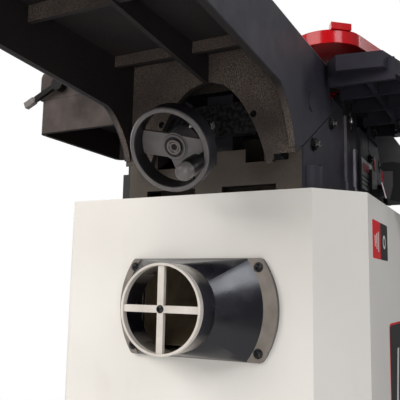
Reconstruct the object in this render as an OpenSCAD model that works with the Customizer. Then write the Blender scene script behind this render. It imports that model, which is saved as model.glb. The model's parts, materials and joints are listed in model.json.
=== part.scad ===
// Jointer (surface planer) on an enclosed stand.
// Origin: centre of the stand on the floor. +X runs to the infeed end, +Y to the rear, +Z up.
// The outfeed half is at -X. Infeed pieces are mirrored from the outfeed ones.

/* [Stand] */
// Length of the stand along the tables
stand_l = 484; // [470:1:520]
// Depth of the stand
stand_w = 394; // [390:1:420]
// Height of the stand top above the floor
stand_h = 646.5; // [620:0.5:680]
// Thickness of the stand's sheet steel
sheet = 3; // [2:0.5:4]
// Length and depth of the chamfered front corners
chamfer_x = 56; // [40:1:60]
chamfer_y = 50; // [40:1:60]

// Radius of the rounded rear corners
stand_corner = 10; // [6:1:16]

/* [Tables] */
// Width of both tables
table_w = 229; // [225:1:235]
// Middle of the tables, front to back
table_y = -23.3; // [-25:0.1:-20]
// Height of the tables above the stand top
table_rise = 180.5; // [178:0.5:184]
// How far each table reaches from the cutterhead axis
table_reach = 925; // [800:5:1000]
// Slope of the dovetail ways
way_angle = 29.3; // [29:0.1:30]
// Half of the gap that the table lips leave at the cutterhead
lip_gap = 44; // [43:0.5:48]
// Thickness of the table plate
plate_t = 12; // [10:1:14]
// Thickness of the table skirts
skirt_t = 8.5; // [7:0.5:10]

/* [Dust port] */
// Outside radius of the dust pipe
port_r = 50.8; // [48:0.1:52]
// Length of the pipe with its flange
port_l = 79.6; // [60:0.1:90]
// Height of the pipe's axis above the floor
port_z = 508; // [490:1:520]

/* [Cutterhead] */
// Radius of the cutterhead body
head_r = 39; // [38:0.5:40]
// Cutting radius
cut_r = 41; // [40.5:0.1:41.5]
// Width of cut
cut_w = 206; // [200:1:210]

/* [Handwheels] */
// Outside radius of the handwheels
wheel_r = 47.7; // [45:0.1:50]
// Depth of the handwheel rim
wheel_t = 22; // [18:1:24]
// Radius of the lead screws
screw_r = 8; // [7:0.5:9]

/* [Fence] */
// Length of the fence
fence_l = 960; // [800:10:1000]
// Height of the fence
fence_h = 120; // [110:1:130]
// Thickness of the fence plate
fence_t = 12; // [12:1:14]
// Front face of the fence with the fence right back
fence_y = 66; // [60:1:66]

/* [Hidden] */
$fn = 64;

e = 0.01;
clear = 0.15;
table_z = stand_h + table_rise;
half_w = table_w / 2;
front_y = table_y - half_w;
rear_y = table_y + half_w;

// Ways: a straight line in side view, from the stand's end up to the saddle
saddle_x = 116;
way_top = stand_h + 121.5;
way_slope = tan(way_angle);
web_x = 267;
web_t = 9;
tongue_d = 9;
undercut = 6;
tongue_in = 72;
tongue_out = 81;
gib_t = 9;

// Base casting
base_front = table_y - 114;
base_rear = 103;
base_wall_in = 17.6;
saddle_h = stand_h + 143.5;
block_seat = stand_h + 103.5;
base_bolt_x = 214;
base_bolt_front = base_front + 3;
base_bolt_rear = base_rear - 7;
nut_x = 212;

// Cutterhead and drive
head_z = table_z - cut_r;
head_front = table_y - 95;
head_rear = head_front + cut_w;
journal_r = 12.45;
bearing_r = 26;
bearing_w = 15;
block_half = 40;
pulley_y = 116;
pulley_w = 30;
head_pulley_r = 34;
motor_pulley_r = 55;
motor_z = 215;
motor_r = 82;
motor_front = -120;
motor_rear = 88;
belt_t = 7;
belt_w = 9;
belt_pitch = 13;

// Handwheel on the outfeed screw: middle of the rim's front plane
wheel_x = -354;
wheel_z = stand_h + 29.5;
grip_at = [14.5, -32];

// Fence slide and tilt
pivot_y = fence_y + fence_t / 2;
pivot_z = table_z + 2.2 + fence_t / 2;
bracket_x = 122;
bracket_rear = 378;
bracket_low = stand_h + 143.5;
bracket_top = stand_h + 202.5;
carriage_top = bracket_top + 51;
arm_x = [77, 98];

// Guard and ledge
guard_pivot = [50, -205];
guard_low = table_z + 15;
guard_top = table_z + 33;
ledge_in = front_y - 3;

// Control box on the front
box_x = [-12, 150];
cheek_t = 6;
panel_top = [-199, stand_h + 108.5];
panel_low = [-250, stand_h + 21.5];
panel_angle = atan2(panel_top[1] - panel_low[1], panel_top[0] - panel_low[0]);

// ---------- helpers ----------

// Cylinder along +X, +Y, from a point
module rod_x(at, r, l) {
    translate(at) rotate([0, 90, 0]) cylinder(r = r, h = l);
}
module rod_y(at, r, l) {
    translate(at) rotate([-90, 0, 0]) cylinder(r = r, h = l);
}
// Side outline in X and Z, from y0 to y1
module side(points, y0, y1) {
    translate([0, y1, 0]) rotate([90, 0, 0]) linear_extrude(y1 - y0) polygon(points);
}
// End outline in Y and Z, from x0 to x1
module end(points, x0, x1) {
    translate([x0, 0, 0]) rotate([90, 0, 90]) linear_extrude(x1 - x0) polygon(points);
}
// Both rounded rear corners of a plan outline, from the infeed side round to the outfeed side
function rear_corners(half, rear, r) = [for (c = [0, 1], i = [0 : 8])
    let (a = 90 * c + 90 * i / 8) [(c == 0 ? half - r : r - half) + r * cos(a), rear - r + r * sin(a)]];
// Box from corner to corner
module block(low, high) {
    translate(low) cube(high - low);
}
// Picks the outfeed piece, or its mirror image for the infeed side
module on_side(infeed) {
    if (infeed) mirror([1, 0, 0]) children();
    if (!infeed) children();
}
// Local X runs up the outfeed way, local Z is square to it
module on_way() {
    translate([-saddle_x, table_y, way_top]) rotate([0, -way_angle, 0]) children();
}
// Cross-section of a way, given as points across and square to it, cut between two X values
module way_bar(points, x0, x1) {
    reach = 260;
    intersection() {
        on_way() translate([-reach, 0, 0]) rotate([90, 0, 90]) linear_extrude(reach + 40) polygon(points);
        block([x0, -400, stand_h], [x1, 400, 2000]);
    }
}
// Local Z runs inwards along the outfeed screw, from the front of the handwheel rim
module on_screw() {
    translate([wheel_x, table_y, wheel_z]) rotate([0, 90 - way_angle, 0]) children();
}
// Height of the way plane over an outfeed X
function way_at(x) = way_top + way_slope * (x + saddle_x);

// ---------- stand ----------

module stand_outline(inset) {
    hl = stand_l / 2 - inset;
    hw = stand_w / 2 - inset;
    cx = chamfer_x - 0.4 * inset;
    cy = chamfer_y - 0.4 * inset;
    polygon(concat([[-hl, cy - hw], [cx - hl, -hw], [hl - cx, -hw], [hl, cy - hw]],
        rear_corners(hl, hw, stand_corner - inset)));
}

module stand_shell() {
    color("ivory") difference() {
        linear_extrude(stand_h) stand_outline(0);
        translate([0, 0, -1]) linear_extrude(stand_h + 2) stand_outline(sheet);
        at_port(-stand_l, stand_l) throat_outline(0.5);
        for (p = port_screw_places()) rod_x([-stand_l, p[0], p[1]], 2.6, stand_l);
        block([-150, stand_w / 2 - 10, 70], [150, stand_w / 2 + 10, 520]);
        for (p = panel_screw_places()) rod_y([p[0], stand_w / 2 - 10, p[1]], 2.6, 20);
        rod_y([190, stand_w / 2 - 10, 60], 10, 20);
    }
}

module stand_top_plate() {
    color("ivory") difference() {
        translate([0, 0, stand_h - 6]) linear_extrude(6) stand_outline(sheet);
        block([-75, -110, 0], [75, 76, 1000]);
        block([-66, 108, 0], [66, 160, 1000]);
        for (p = base_bolt_places()) translate([p[0], p[1], 0]) cylinder(r = 6.5, h = 1000);
    }
}

floor_bolt = [200, 155];
module stand_base_frame() {
    ring = 50;
    color("dimgray") difference() {
        linear_extrude(6) stand_outline(sheet);
        block([ring - stand_l / 2, ring - stand_w / 2, -1], [stand_l / 2 - ring, stand_w / 2 - ring, 10]);
        for (sx = [-1, 1], sy = [-1, 1])
            translate([sx * floor_bolt[0], sy * floor_bolt[1], -1]) cylinder(r = 6.5, h = 10);
    }
}

function panel_screw_places() = [for (x = [-158, 158], z = [85, 295, 505]) [x, z]];
module rear_panel() {
    y = stand_w / 2;
    color("ivory") difference() {
        union() {
            block([-168, y, 60], [168, y + 2, 530]);
            for (i = [0 : 7]) louvre(y + 2, 120 + 22 * i);
        }
        for (p = panel_screw_places()) rod_y([p[0], y - 5, p[1]], 2.6, 20);
        for (i = [0 : 7]) block([-60, y - 1, 118 + 22 * i], [60, y + 4, 122 + 22 * i]);
    }
}
module louvre(y, z) {
    end([[y - e, z - 4], [y + 5, z - 4], [y + 5, z - 2], [y - e, z + 9]], -64, 64);
}
module rear_panel_screws() {
    y = stand_w / 2 + 2;
    color("silver") for (p = panel_screw_places()) {
        rod_y([p[0], y - 8, p[1]], 2.5, 8 + e);
        rod_y([p[0], y, p[1]], 5, 2.5);
    }
}

// ---------- dust port ----------

flange_t = 6;
// End of the round collar, and the circle and half height that the flare reaches at the flange
collar_x = -284;
flare_r = 94;
flare_half = 58.5;
throat = [146, 98];
throat_corner = 24;
function port_screw_places() = [for (sy = [-1, 1], sz = [-1, 1]) [sy * 84 - 1, port_z + sz * 48.5]];
module flange_outline() {
    bulge = 100;
    apart = 6.4;
    corner = 6;
    translate([-4, 0]) offset(r = corner) intersection() {
        square([240, 118 - 2 * corner], center = true);
        union() {
            for (s = [-1, 1]) translate([s * apart, 0]) circle(bulge - corner, $fn = 160);
            square([2 * apart, 2 * (bulge - corner)], center = true);
        }
    }
}
// Rectangular throat with round corners, through the flange and the stand's end wall
module throat_outline(grow) {
    w = throat[0] / 2 + grow;
    h = throat[1] / 2 + grow;
    r = throat_corner + grow;
    square([2 * w, 2 * (h - r)], center = true);
    square([2 * (w - r), 2 * h], center = true);
    for (sx = [-1, 1], sy = [-1, 1]) translate([sx * (w - r), sy * (h - r)]) circle(r);
}
// Places an outline in the stand's end plane, thick towards the infeed side
module at_port(x, thick) {
    translate([x, 2, port_z]) rotate([90, 0, 90]) linear_extrude(thick) children();
}
// Skin that spreads from the round collar to the flange
module port_flare() {
    flange_x = -stand_l / 2 - flange_t;
    hull() {
        at_port(collar_x, 1) circle(port_r + 0.4, $fn = 96);
        at_port(flange_x, 1) intersection() {
            circle(flare_r, $fn = 96);
            square([2 * flare_r, 2 * flare_half], center = true);
        }
    }
}
module dust_port() {
    mouth = -stand_l / 2 - port_l;
    color("silver") difference() {
        union() {
            at_port(-stand_l / 2 - flange_t, flange_t) flange_outline();
            rod_x([mouth, 2, port_z], port_r, collar_x + 1 - mouth);
            port_flare();
        }
        rod_x([mouth + 7, 2, port_z], port_r - 2.8, collar_x - mouth);
        hull() {
            at_port(collar_x, 1) circle(port_r - 2.8, $fn = 96);
            at_port(-stand_l / 2 - 1, 2) throat_outline(0);
        }
        difference() {
            rod_x([mouth - 1, 2, port_z], port_r - 2.8, 10);
            block([mouth + 2, -100, port_z - 4], [mouth + 7, 100, port_z + 4]);
            block([mouth + 2, -2, port_z - 100], [mouth + 7, 6, port_z + 100]);
            rod_x([mouth + 2, 2, port_z], 5.5, 5);
        }
        rod_x([mouth, 2, port_z], 2.5, 10);
        for (p = port_screw_places()) rod_x([-stand_l, p[0], p[1]], 2.6, stand_l);
    }
}
module dust_port_screws() {
    x = -stand_l / 2 - flange_t;
    color("dimgray") for (p = port_screw_places()) {
        rod_x([x - e, p[0], p[1]], 2.5, 14);
        rod_x([x - 3, p[0], p[1]], 5.5, 3);
    }
}
module cross_screw() {
    x = -stand_l / 2 - port_l + 2;
    color("dimgray") {
        rod_x([x - e, 2, port_z], 2.4, 8);
        rod_x([x - 2.5, 2, port_z], 4.5, 2.5);
    }
}

// Sheet hopper from under the cutterhead down to the port, running past both of its mouths by over
module chute_form(grow, over) {
    hull() {
        block([-72 - grow, -106 - grow, stand_h - 12], [72 + grow, 72 + grow, stand_h - 6 + over]);
        at_port(sheet - stand_l / 2 - over, 3 + over) throat_outline(grow - 4);
    }
}
module chip_chute() {
    color("gray") difference() {
        chute_form(2, 0);
        chute_form(0, 3);
    }
}

// ---------- motor and drive ----------

module motor_mount() {
    foot = motor_z - motor_r - 14;
    color("dimgray") {
        for (s = [-1, 1]) {
            block([s * 105 - 20, -150, 6], [s * 105 + 20, -144, foot - 6]);
            block([s * 105 - 20, 144, 6], [s * 105 + 20, 150, foot - 6]);
            block([s * 105 - 20, -150, foot - 6], [s * 105 + 20, 150, foot]);
        }
        block([-85 - e, -90, foot - 6], [85 + e, 60, foot]);
    }
}
module motor_body() {
    foot = motor_z - motor_r - 14;
    color("darkslategray") difference() {
        union() {
            rod_y([0, motor_front, motor_z], motor_r - 6, motor_rear - motor_front);
            for (i = [0 : 23]) translate([0, 0, motor_z]) rotate([0, 15 * i, 0])
                block([-2, motor_front + 25, 70], [2, motor_rear - 20, motor_r]);
            for (s = [-1, 1]) block([s * 60 - 20, -70, foot], [s * 60 + 20, 40, motor_z - 40]);
        }
        rod_y([0, motor_front - 1, motor_z], 12.05, 400);
        rod_y([0, motor_front + 12, motor_z], 45, motor_rear - motor_front - 24);
    }
}
module motor_fan_cover() {
    y = motor_front - 45;
    color("dimgray") difference() {
        rod_y([0, y, motor_z], motor_r - 2, 60);
        rod_y([0, y + 2.5, motor_z], motor_r - 4.5, 42.5);
        rod_y([0, motor_front - 5, motor_z], motor_r - 6, 60);
        for (r = [25, 40, 55]) difference() {
            rod_y([0, y - 1, motor_z], r + 4, 6);
            rod_y([0, y - 2, motor_z], r, 8);
            for (a = [0, 60, 120]) translate([0, y, motor_z]) rotate([0, a, 0])
                cube([200, 12, 8], center = true);
        }
    }
}
module motor_terminal_box() {
    color("dimgray") block([motor_r, -50, motor_z - 30], [motor_r + 36, 40, motor_z + 40]);
}
module motor_shaft() {
    color("silver") rod_y([0, motor_front - 30, motor_z], 12, pulley_y + pulley_w + 30 - motor_front);
}
module motor_fan() {
    y = motor_front - 36;
    color("gray") difference() {
        union() {
            rod_y([0, y + 8, motor_z], 20, 20);
            rod_y([0, y + 26, motor_z], 66, 2.5);
            for (a = [0 : 45 : 315]) translate([0, y, motor_z]) rotate([0, a, 0])
                block([-1.2, 6, 16], [1.2, 27, 66]);
        }
        rod_y([0, y, motor_z], 12, 40);
    }
}
// Pulley with two grooves for flat-bottomed belts
module pulley(r, bore, z) {
    color("gray") difference() {
        rod_y([0, pulley_y, z], r, pulley_w);
        for (k = [-1, 1]) difference() {
            rod_y([0, pulley_y + pulley_w / 2 + k * belt_pitch / 2 - belt_w / 2 - 0.5, z],
                r + 1, belt_w + 1);
            rod_y([0, pulley_y, z], r - belt_t, pulley_w);
        }
        rod_y([0, pulley_y - 1, z], bore, pulley_w + 2);
    }
}
module motor_pulley() {
    pulley(motor_pulley_r, 12, motor_z);
}
module head_pulley() {
    pulley(head_pulley_r, journal_r, head_z);
}
// Stretched outline around both pulleys, standing off the groove bottoms
module belt_form(stand_off, width) {
    hull() {
        rod_y([0, -width / 2, motor_z], motor_pulley_r - belt_t + stand_off, width);
        rod_y([0, -width / 2, head_z], head_pulley_r - belt_t + stand_off, width);
    }
}
module drive_belts() {
    color("black") for (k = [-1, 1])
        translate([0, pulley_y + pulley_w / 2 + k * belt_pitch / 2, 0]) difference() {
            belt_form(belt_t + 0.4, belt_w);
            belt_form(0.4, belt_w + 2);
        }
}
module belt_guard() {
    y0 = base_rear + 9.2;
    y1 = 168;
    top = bracket_top - 14;
    color("black") difference() {
        block([-64, y0, stand_h], [64, y1, top]);
        block([-62, y0 - 1, stand_h - 1], [62, y1 - 2, top - 2]);
    }
}
module cable_gland() {
    y = stand_w / 2;
    color("black") difference() {
        union() {
            rod_y([190, y - 8, 60], 9.8, 8 + e);
            translate([190, y, 60]) rotate([-90, 0, 0]) cylinder(r = 14, h = 7, $fn = 6);
            translate([190, y + 7 - e, 60]) rotate([-90, 0, 0]) cylinder(r1 = 11, r2 = 8, h = 14);
        }
        rod_y([190, y - 20, 60], 5, 60);
    }
}

// ---------- base casting ----------

function base_bolt_places() = [for (s = [-1, 1], y = [base_bolt_front, base_bolt_rear])
    [s * base_bolt_x, y]];
// Side walls in outline, a little below the ways, with the notch for the bearing blocks
function wall_side() = let (half = stand_l / 2, low = way_at(-stand_l / 2) - 2, notch = block_half + 12)
    [[-half, stand_h], [-half, low], [-saddle_x, way_top - 2], [4 - saddle_x, saddle_h], [-notch, saddle_h],
    [-notch, block_seat], [notch, block_seat], [notch, saddle_h], [saddle_x - 4, saddle_h],
    [saddle_x, way_top - 2], [half, low], [half, stand_h]];
// Distance out to the tongue's sloping side, at a height over the ways
function tongue_side(z) = tongue_out + undercut * (clear - z) / (clear + tongue_d);
// Rails, end walls and the deck of one end
module base_end() {
    x0 = -stand_l / 2;
    depth = tongue_d + 0.5;
    gibbed = gib_t + clear;
    back = base_rear - 5 - table_y;
    way_bar([[-109, 0], [-tongue_side(0) - gibbed, 0],
        [-tongue_side(-depth) - gibbed, -depth], [-100.5, -50],
        [-109, -50]], x0, -saddle_x);
    way_bar([[back, 0], [tongue_side(0) + clear, 0],
        [tongue_side(-depth) + clear, -depth], [104, -40], [back, -60]],
        x0, -saddle_x);
    block([x0, base_front + 4, stand_h], [x0 + 12, base_rear - 4, stand_h + 35]);
    block([-197, base_front + 4, stand_h], [-186, base_rear - 4, stand_h + 45]);
    block([x0 + 4, base_front + 4, stand_h + 27], [-190, base_rear - 4, stand_h + 35]);
    block([x0, table_y - 42, stand_h + 30], [x0 + 11, table_y - 4, stand_h + 51.5]);
    block([-104, base_front + 4, stand_h], [-96, base_rear - 4, stand_h + 100]);
    for (y = [base_bolt_front, base_bolt_rear]) translate([-base_bolt_x, y, stand_h])
        cylinder(r = 17, h = 29);
}
module base_casting() {
    color([0.2, 0.19, 0.21]) difference() {
        union() {
            side(wall_side(), base_front, base_front + base_wall_in);
            side(wall_side(), base_rear - 24, base_rear);
            for (infeed = [false, true]) on_side(infeed) base_end();
            // plinths front and rear
            block([-180, base_front - 3, stand_h], [180, base_front + 4, stand_h + 38.5]);
            block([-stand_l / 2, base_rear - 4, stand_h], [stand_l / 2, base_rear + 8, stand_h + 32]);
            // ribs on the front face
            for (x = [-48, 48])
                block([x - 3, base_front - 3, stand_h + 36], [x + 3, base_front + 4, saddle_h - 8]);
            block([5, base_front - 3, stand_h + 36], [11, base_front + 4, block_seat - 6]);
        }
        for (infeed = [false, true]) on_side(infeed) base_cuts();
        // room for the cutting circle
        rod_y([0, table_y, head_z], cut_r + 3, head_rear + 1 - table_y);
        // studs of the table locks
        rod_y([180, base_front - 20, way_at(-180) - 26], 5.1, 60);
        rod_y([-180, base_rear - 40, way_at(-180) - 14], 5.1, 60);
    }
}
module base_cuts() {
    // notches under the end wall
    for (y = [[2.6, 72.7], [-104, -34.3]])
        block([-stand_l / 2 - 1, y[0], stand_h - 1], [-stand_l / 2 + 30, y[1], stand_h + 7.5]);
    for (y = [base_bolt_front, base_bolt_rear]) translate([-base_bolt_x, y, stand_h - 1])
        cylinder(r = 6, h = 26);
    for (p = gib_screw_places()) {
        rod_y([p[0], base_front - 20, p[1]], 4.1, 45);
        rod_y([p[0], base_front - 20, p[1]], 8.5, 25);
    }
}
// Bolts that come up through the stand top into the corner bosses
module base_bolts() {
    color("dimgray") for (p = base_bolt_places()) translate([p[0], p[1], stand_h - 6]) {
        cylinder(r = 6, h = 28);
        translate([0, 0, -8]) cylinder(r = 10, h = 8 + e, $fn = 6);
    }
}
function gib_screw_places() = [[-204, way_at(-204) - 13], [-122, way_at(-122) - 13]];
module gib_screws() {
    color("silver") for (infeed = [false, true]) on_side(infeed) for (p = gib_screw_places()) {
        rod_y([p[0], base_front - 2, p[1]], 4, 19.8);
        translate([p[0], base_front + 1, p[1]]) rotate([-90, 0, 0]) cylinder(r = 7, h = 4 - e, $fn = 6);
    }
}
module gib(infeed) {
    top = -0.5;
    low = -tongue_d - 0.3;
    color("dimgray") on_side(infeed)
        way_bar([[-tongue_side(top) - clear, top], [-tongue_side(top) - gib_t, top],
            [-tongue_side(low) - gib_t, low], [-tongue_side(low) - clear, low]], -257, -saddle_x - 3);
}
module outfeed_gib() {
    gib(false);
}
module infeed_gib() {
    gib(true);
}

// ---------- cutterhead ----------

function block_y() = [head_front - 2 - bearing_w, head_rear + 2];
module bearing_blocks() {
    color([0.25, 0.24, 0.26]) for (y = block_y()) difference() {
        block([-block_half, y - 1, block_seat], [block_half, y + bearing_w + 1, head_z + 32]);
        rod_y([0, y - 3, head_z], journal_r + 2, bearing_w + 6);
        rod_y([0, y, head_z], bearing_r, bearing_w);
        for (s = [-1, 1]) translate([s * 32, y + bearing_w / 2, 0]) cylinder(r = 4.1, h = 2000);
    }
}
module block_bolts() {
    color("silver") for (y = block_y(), s = [-1, 1]) translate([s * 32, y + bearing_w / 2, 0]) {
        translate([0, 0, block_seat]) cylinder(r = 4, h = head_z + 32 - block_seat + e);
        translate([0, 0, head_z + 32]) cylinder(r = 5.2, h = 5);
    }
}
module head_bearings() {
    color("silver") for (y = block_y()) difference() {
        rod_y([0, y, head_z], bearing_r, bearing_w);
        rod_y([0, y - 1, head_z], journal_r + 0.05, bearing_w + 2);
        for (o = [-1, bearing_w - 1]) difference() {
            rod_y([0, y + o, head_z], 22, 2);
            rod_y([0, y + o - 1, head_z], 17, 4);
        }
    }
}
insert_rows = 4;
insert_cols = 9;
insert_w = 14;
// Bare metal left at each end of the cutterhead
insert_end = 2;
module each_insert() {
    pitch = (cut_w - insert_w - 2 * insert_end) / (insert_cols - 0.5);
    for (r = [0 : insert_rows - 1], c = [0 : insert_cols - 1])
        translate([0, head_front + insert_w / 2 + insert_end + pitch * (c + (r % 2) / 2), head_z])
            rotate([0, 90 * r + 9 * c + 12, 0]) children();
}
module cutterhead() {
    color("silver") difference() {
        union() {
            rod_y([0, head_front, head_z], head_r, cut_w);
            rod_y([0, head_front - 1 - bearing_w, head_z], journal_r, cut_w + 20);
            rod_y([0, head_rear - e, head_z], journal_r, pulley_y + pulley_w - head_rear);
        }
        each_insert() block([-1.5 - 4, -insert_w / 2 - e, head_r - 9], [3, insert_w / 2 + e, head_r + 9]);
    }
}
module cutter_inserts() {
    color("gainsboro") each_insert() block([0.4, -insert_w / 2, head_r - 9], [3, insert_w / 2, cut_r - 0.3]);
}

// ---------- tables ----------

// Lower edge of the skirts: a long shallow taper, then a rounded haunch down to the ways
haunch_top = [-321, 749];
haunch_foot = [-web_x - 2, 690];
haunch_power = 1.4;
function haunch(t) = [haunch_top[0] + t * (haunch_foot[0] - haunch_top[0]),
    haunch_foot[1] + (haunch_top[1] - haunch_foot[1])
    * pow(max(0, 1 - pow(t, haunch_power)), 1 / haunch_power)];
function skirt_outline() = concat([[-table_reach, table_z - 5], [-table_reach, table_z - 50], [-500, 761]],
    [for (i = [0 : 12]) haunch(i / 12)],
    [[-stand_l / 2 - 3, way_at(-stand_l / 2 - 3) + clear], [-saddle_x, way_top + clear],
     [-134, table_z - 5]]);

// Opening in the end web, an arch that closes in towards its top
arch_low = 665;
arch_top = 781;
arch_half = 80;
function arch_width(z) = arch_half * sqrt(max(0, 1 - pow((z - arch_low) / (arch_top - arch_low), 1.3)));
function arch() = concat([for (i = [0 : 16]) let (z = arch_low + i / 16 * (arch_top - arch_low))
    [-arch_width(z), z]],
    [for (i = [15 : -1 : 0]) let (z = arch_low + i / 16 * (arch_top - arch_low)) [arch_width(z), z]]);

module table_casting() {
    y0 = front_y;
    y1 = rear_y;
    low = table_z - plate_t;
    difference() {
        union() {
            side([[-table_reach, low], [-table_reach, table_z], [-lip_gap, table_z], [-lip_gap, table_z - 5],
                [-lip_gap - 18, low]], y0, y1);
            side(skirt_outline(), y0, y0 + skirt_t);
            side(skirt_outline(), y1 - skirt_t, y1);
            translate([0, table_y, 0]) end([[-half_w + 2, low + e], [-half_w + 2, 690.3],
                [-87, 690.3], [-87, 677],
                [87, 677], [87, 690.3], [half_w - 2, 690.3], [half_w - 2, low + e]], -web_x, web_t - web_x);
            // slide pads and dovetail tongues
            for (s = [-1, 1]) way_bar([[s * (half_w - 1), clear], [s * (half_w - 1), 13],
                [s * tongue_in, 13],
                [s * tongue_in, -tongue_d],
                [s * (tongue_out + undercut), -tongue_d], [s * tongue_out, clear]],
                e - web_x, -saddle_x - 3);
            // centre rib, cross ribs and the end wall
            side([[-table_reach + 2, low + e], [-table_reach + 2, low - 14],
                [-470, low - 20], [-web_x + 1, 778],
                [-web_x + 1, low + e]], table_y - 3, table_y + 3);
            for (x = [-459, -620, -780]) block([x - 3, y0 + 2, low - 18], [x + 3, y1 - 2, low + e]);
            block([-310, y0 + 2, low - 14], [-304, y1 - 2, low + e]);
            block([-table_reach, y0 + 2, table_z - 48], [-table_reach + skirt_t, y1 - 2, low + e]);
            block([-170, y0 + 2, low - 14], [-162, y1 - 2, low + e]);
            // plug on the front skirt
            rod_y([-212, y0 - 1.5, stand_h + 109.5], 11, 4);
        }
        translate([0, table_y, 0]) end(arch(), -web_x - 1, web_t - web_x + 0.5);
        on_screw() for (s = [-1, 1]) rotate([0, way_angle - 90, 0])
            rod_x([80, s * 62, screw_mid() - wheel_z], 4.1, 30);
    }
}
function screw_mid() = wheel_z + way_slope * (-web_x + web_t - wheel_x + 6);
module outfeed_table() {
    color([0.16, 0.15, 0.18]) table_casting();
}
module infeed_table() {
    color([0.16, 0.15, 0.18]) difference() {
        on_side(true) table_casting();
        for (x = ledge_bolt_x) rod_y([x, front_y - 5, ledge_bolt_z], 4.1, 20);
    }
}
// Cross bar behind the end web that holds the screw's thrust journal
module screw_bracket(infeed) {
    x0 = web_t - web_x + 0.05;
    z = screw_mid();
    color("dimgray") on_side(infeed) difference() {
        translate([0, table_y, 0]) union() {
            block([x0, -72, z - 20], [x0 + 11, 72, z + 20]);
            for (s = [-1, 1]) rod_x([x0 + 11 - e, s * 62, z], 6, 4);
        }
        on_screw() translate([0, 0, 60]) cylinder(r = screw_r + 0.05, h = 100);
    }
}
module outfeed_screw_bracket() {
    screw_bracket(false);
}
module infeed_screw_bracket() {
    screw_bracket(true);
}
module nut_block(infeed) {
    z = wheel_z + way_slope * (-nut_x - wheel_x);
    color("dimgray") on_side(infeed) difference() {
        union() {
            translate([0, table_y, 0]) block([-nut_x - 15, -18, stand_h + 35], [-nut_x + 15, 18, z + 19]);
            translate([0, table_y, 0])
                block([-nut_x - 15, -34, stand_h + 35], [-nut_x + 15, 34, stand_h + 44]);
        }
        on_screw() translate([0, 0, 100]) cylinder(r = screw_r + 0.05, h = 200);
    }
}
module outfeed_nut_block() {
    nut_block(false);
}
module infeed_nut_block() {
    nut_block(true);
}
module lead_screw(infeed) {
    color("silver") on_side(infeed) on_screw() {
        translate([0, 0, 24]) cylinder(r = screw_r, h = 206);
        translate([0, 0, 78]) cylinder(r = screw_r + 5, h = 10);
    }
}
module outfeed_lead_screw() {
    lead_screw(false);
}
module infeed_lead_screw() {
    lead_screw(true);
}

// ---------- handwheels ----------

// Spoke in the wheel's plane: direction, width at the hub and at the rim
module spoke(angle, w0, w1) {
    rotate(angle + 90)
        polygon([[3, -w0 / 2], [wheel_r - 4, -w1 / 2], [wheel_r - 4, w1 / 2], [3, w0 / 2]]);
}
module handwheel(infeed) {
    color([0.45, 0.45, 0.47]) on_side(infeed) on_screw() difference() {
        union() {
            rotate_extrude($fn = 96) translate([wheel_r, 0]) polygon([[-6.5, 1], [-5.5, 0], [-2, 0], [0, 2],
                [0, wheel_t - 2], [-2, wheel_t], [-5.5, wheel_t], [-6.5, wheel_t - 1]]);
            translate([0, 0, 16.6]) linear_extrude(4.8) {
                spoke(13.5, 27, 27);
                spoke(187, 26, 14);
                spoke(262, 20, 16);
            }
            translate([0, 0, 16]) cylinder(r = 15.5, h = 27);
            translate([grip_at[0], grip_at[1], 16.2]) cylinder(r = 9, h = 6);
        }
        translate([0, 0, 24]) cylinder(r = screw_r, h = 40);
        translate([0, 0, 15]) difference() {
            cylinder(r = 11.5, h = 2.2);
            cylinder(r = 9, h = 3);
        }
        translate([grip_at[0], grip_at[1], 0]) cylinder(r = 4.05, h = 60);
    }
}
module outfeed_handwheel() {
    handwheel(false);
}
module infeed_handwheel() {
    handwheel(true);
}
// Turning grip with its stud and domed end
module grip(infeed) {
    color([0.12, 0.12, 0.13]) on_side(infeed) on_screw()
        translate([grip_at[0], grip_at[1], 0]) rotate_extrude()
        polygon([[0, 26], [6.5, 26], [6.5, 22.5],
        [4, 22.5], [4, 15.9], [5.4, 15.9], [5.4, 1], [9.4, -2], [10, -20],
            [9.2, -27], [9.2, -34], [7.5, -38], [4, -40], [0, -40.5]]);
}
module outfeed_grip() {
    grip(false);
}
module infeed_grip() {
    grip(true);
}

// ---------- table locks ----------

// Lever on a stud through the rail: hub, straight arm and round knob, pointing down at tilt
module lock_lever(at, outward, tilt) {
    color([0.1, 0.1, 0.1]) translate(at) mirror([0, outward > 0 ? 0 : 1, 0]) {
        rod_y([0, -14, 0], 5, 14 + e);
        rod_y([0, 0, 0], 11, 14);
        rotate([0, tilt, 0]) {
            translate([0, 9, -6]) mirror([0, 0, 1]) cylinder(r = 4, h = 40);
            translate([0, 9, -55]) sphere(11);
        }
    }
}
module outfeed_lock_lever() {
    lock_lever([-180, base_rear + 8.3, way_at(-180) - 14], 1, -60);
}
module infeed_lock_lever() {
    lock_lever([180, base_front - 3.3, way_at(-180) - 26], -1, -80);
}

// ---------- rabbeting ledge and guard ----------

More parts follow.
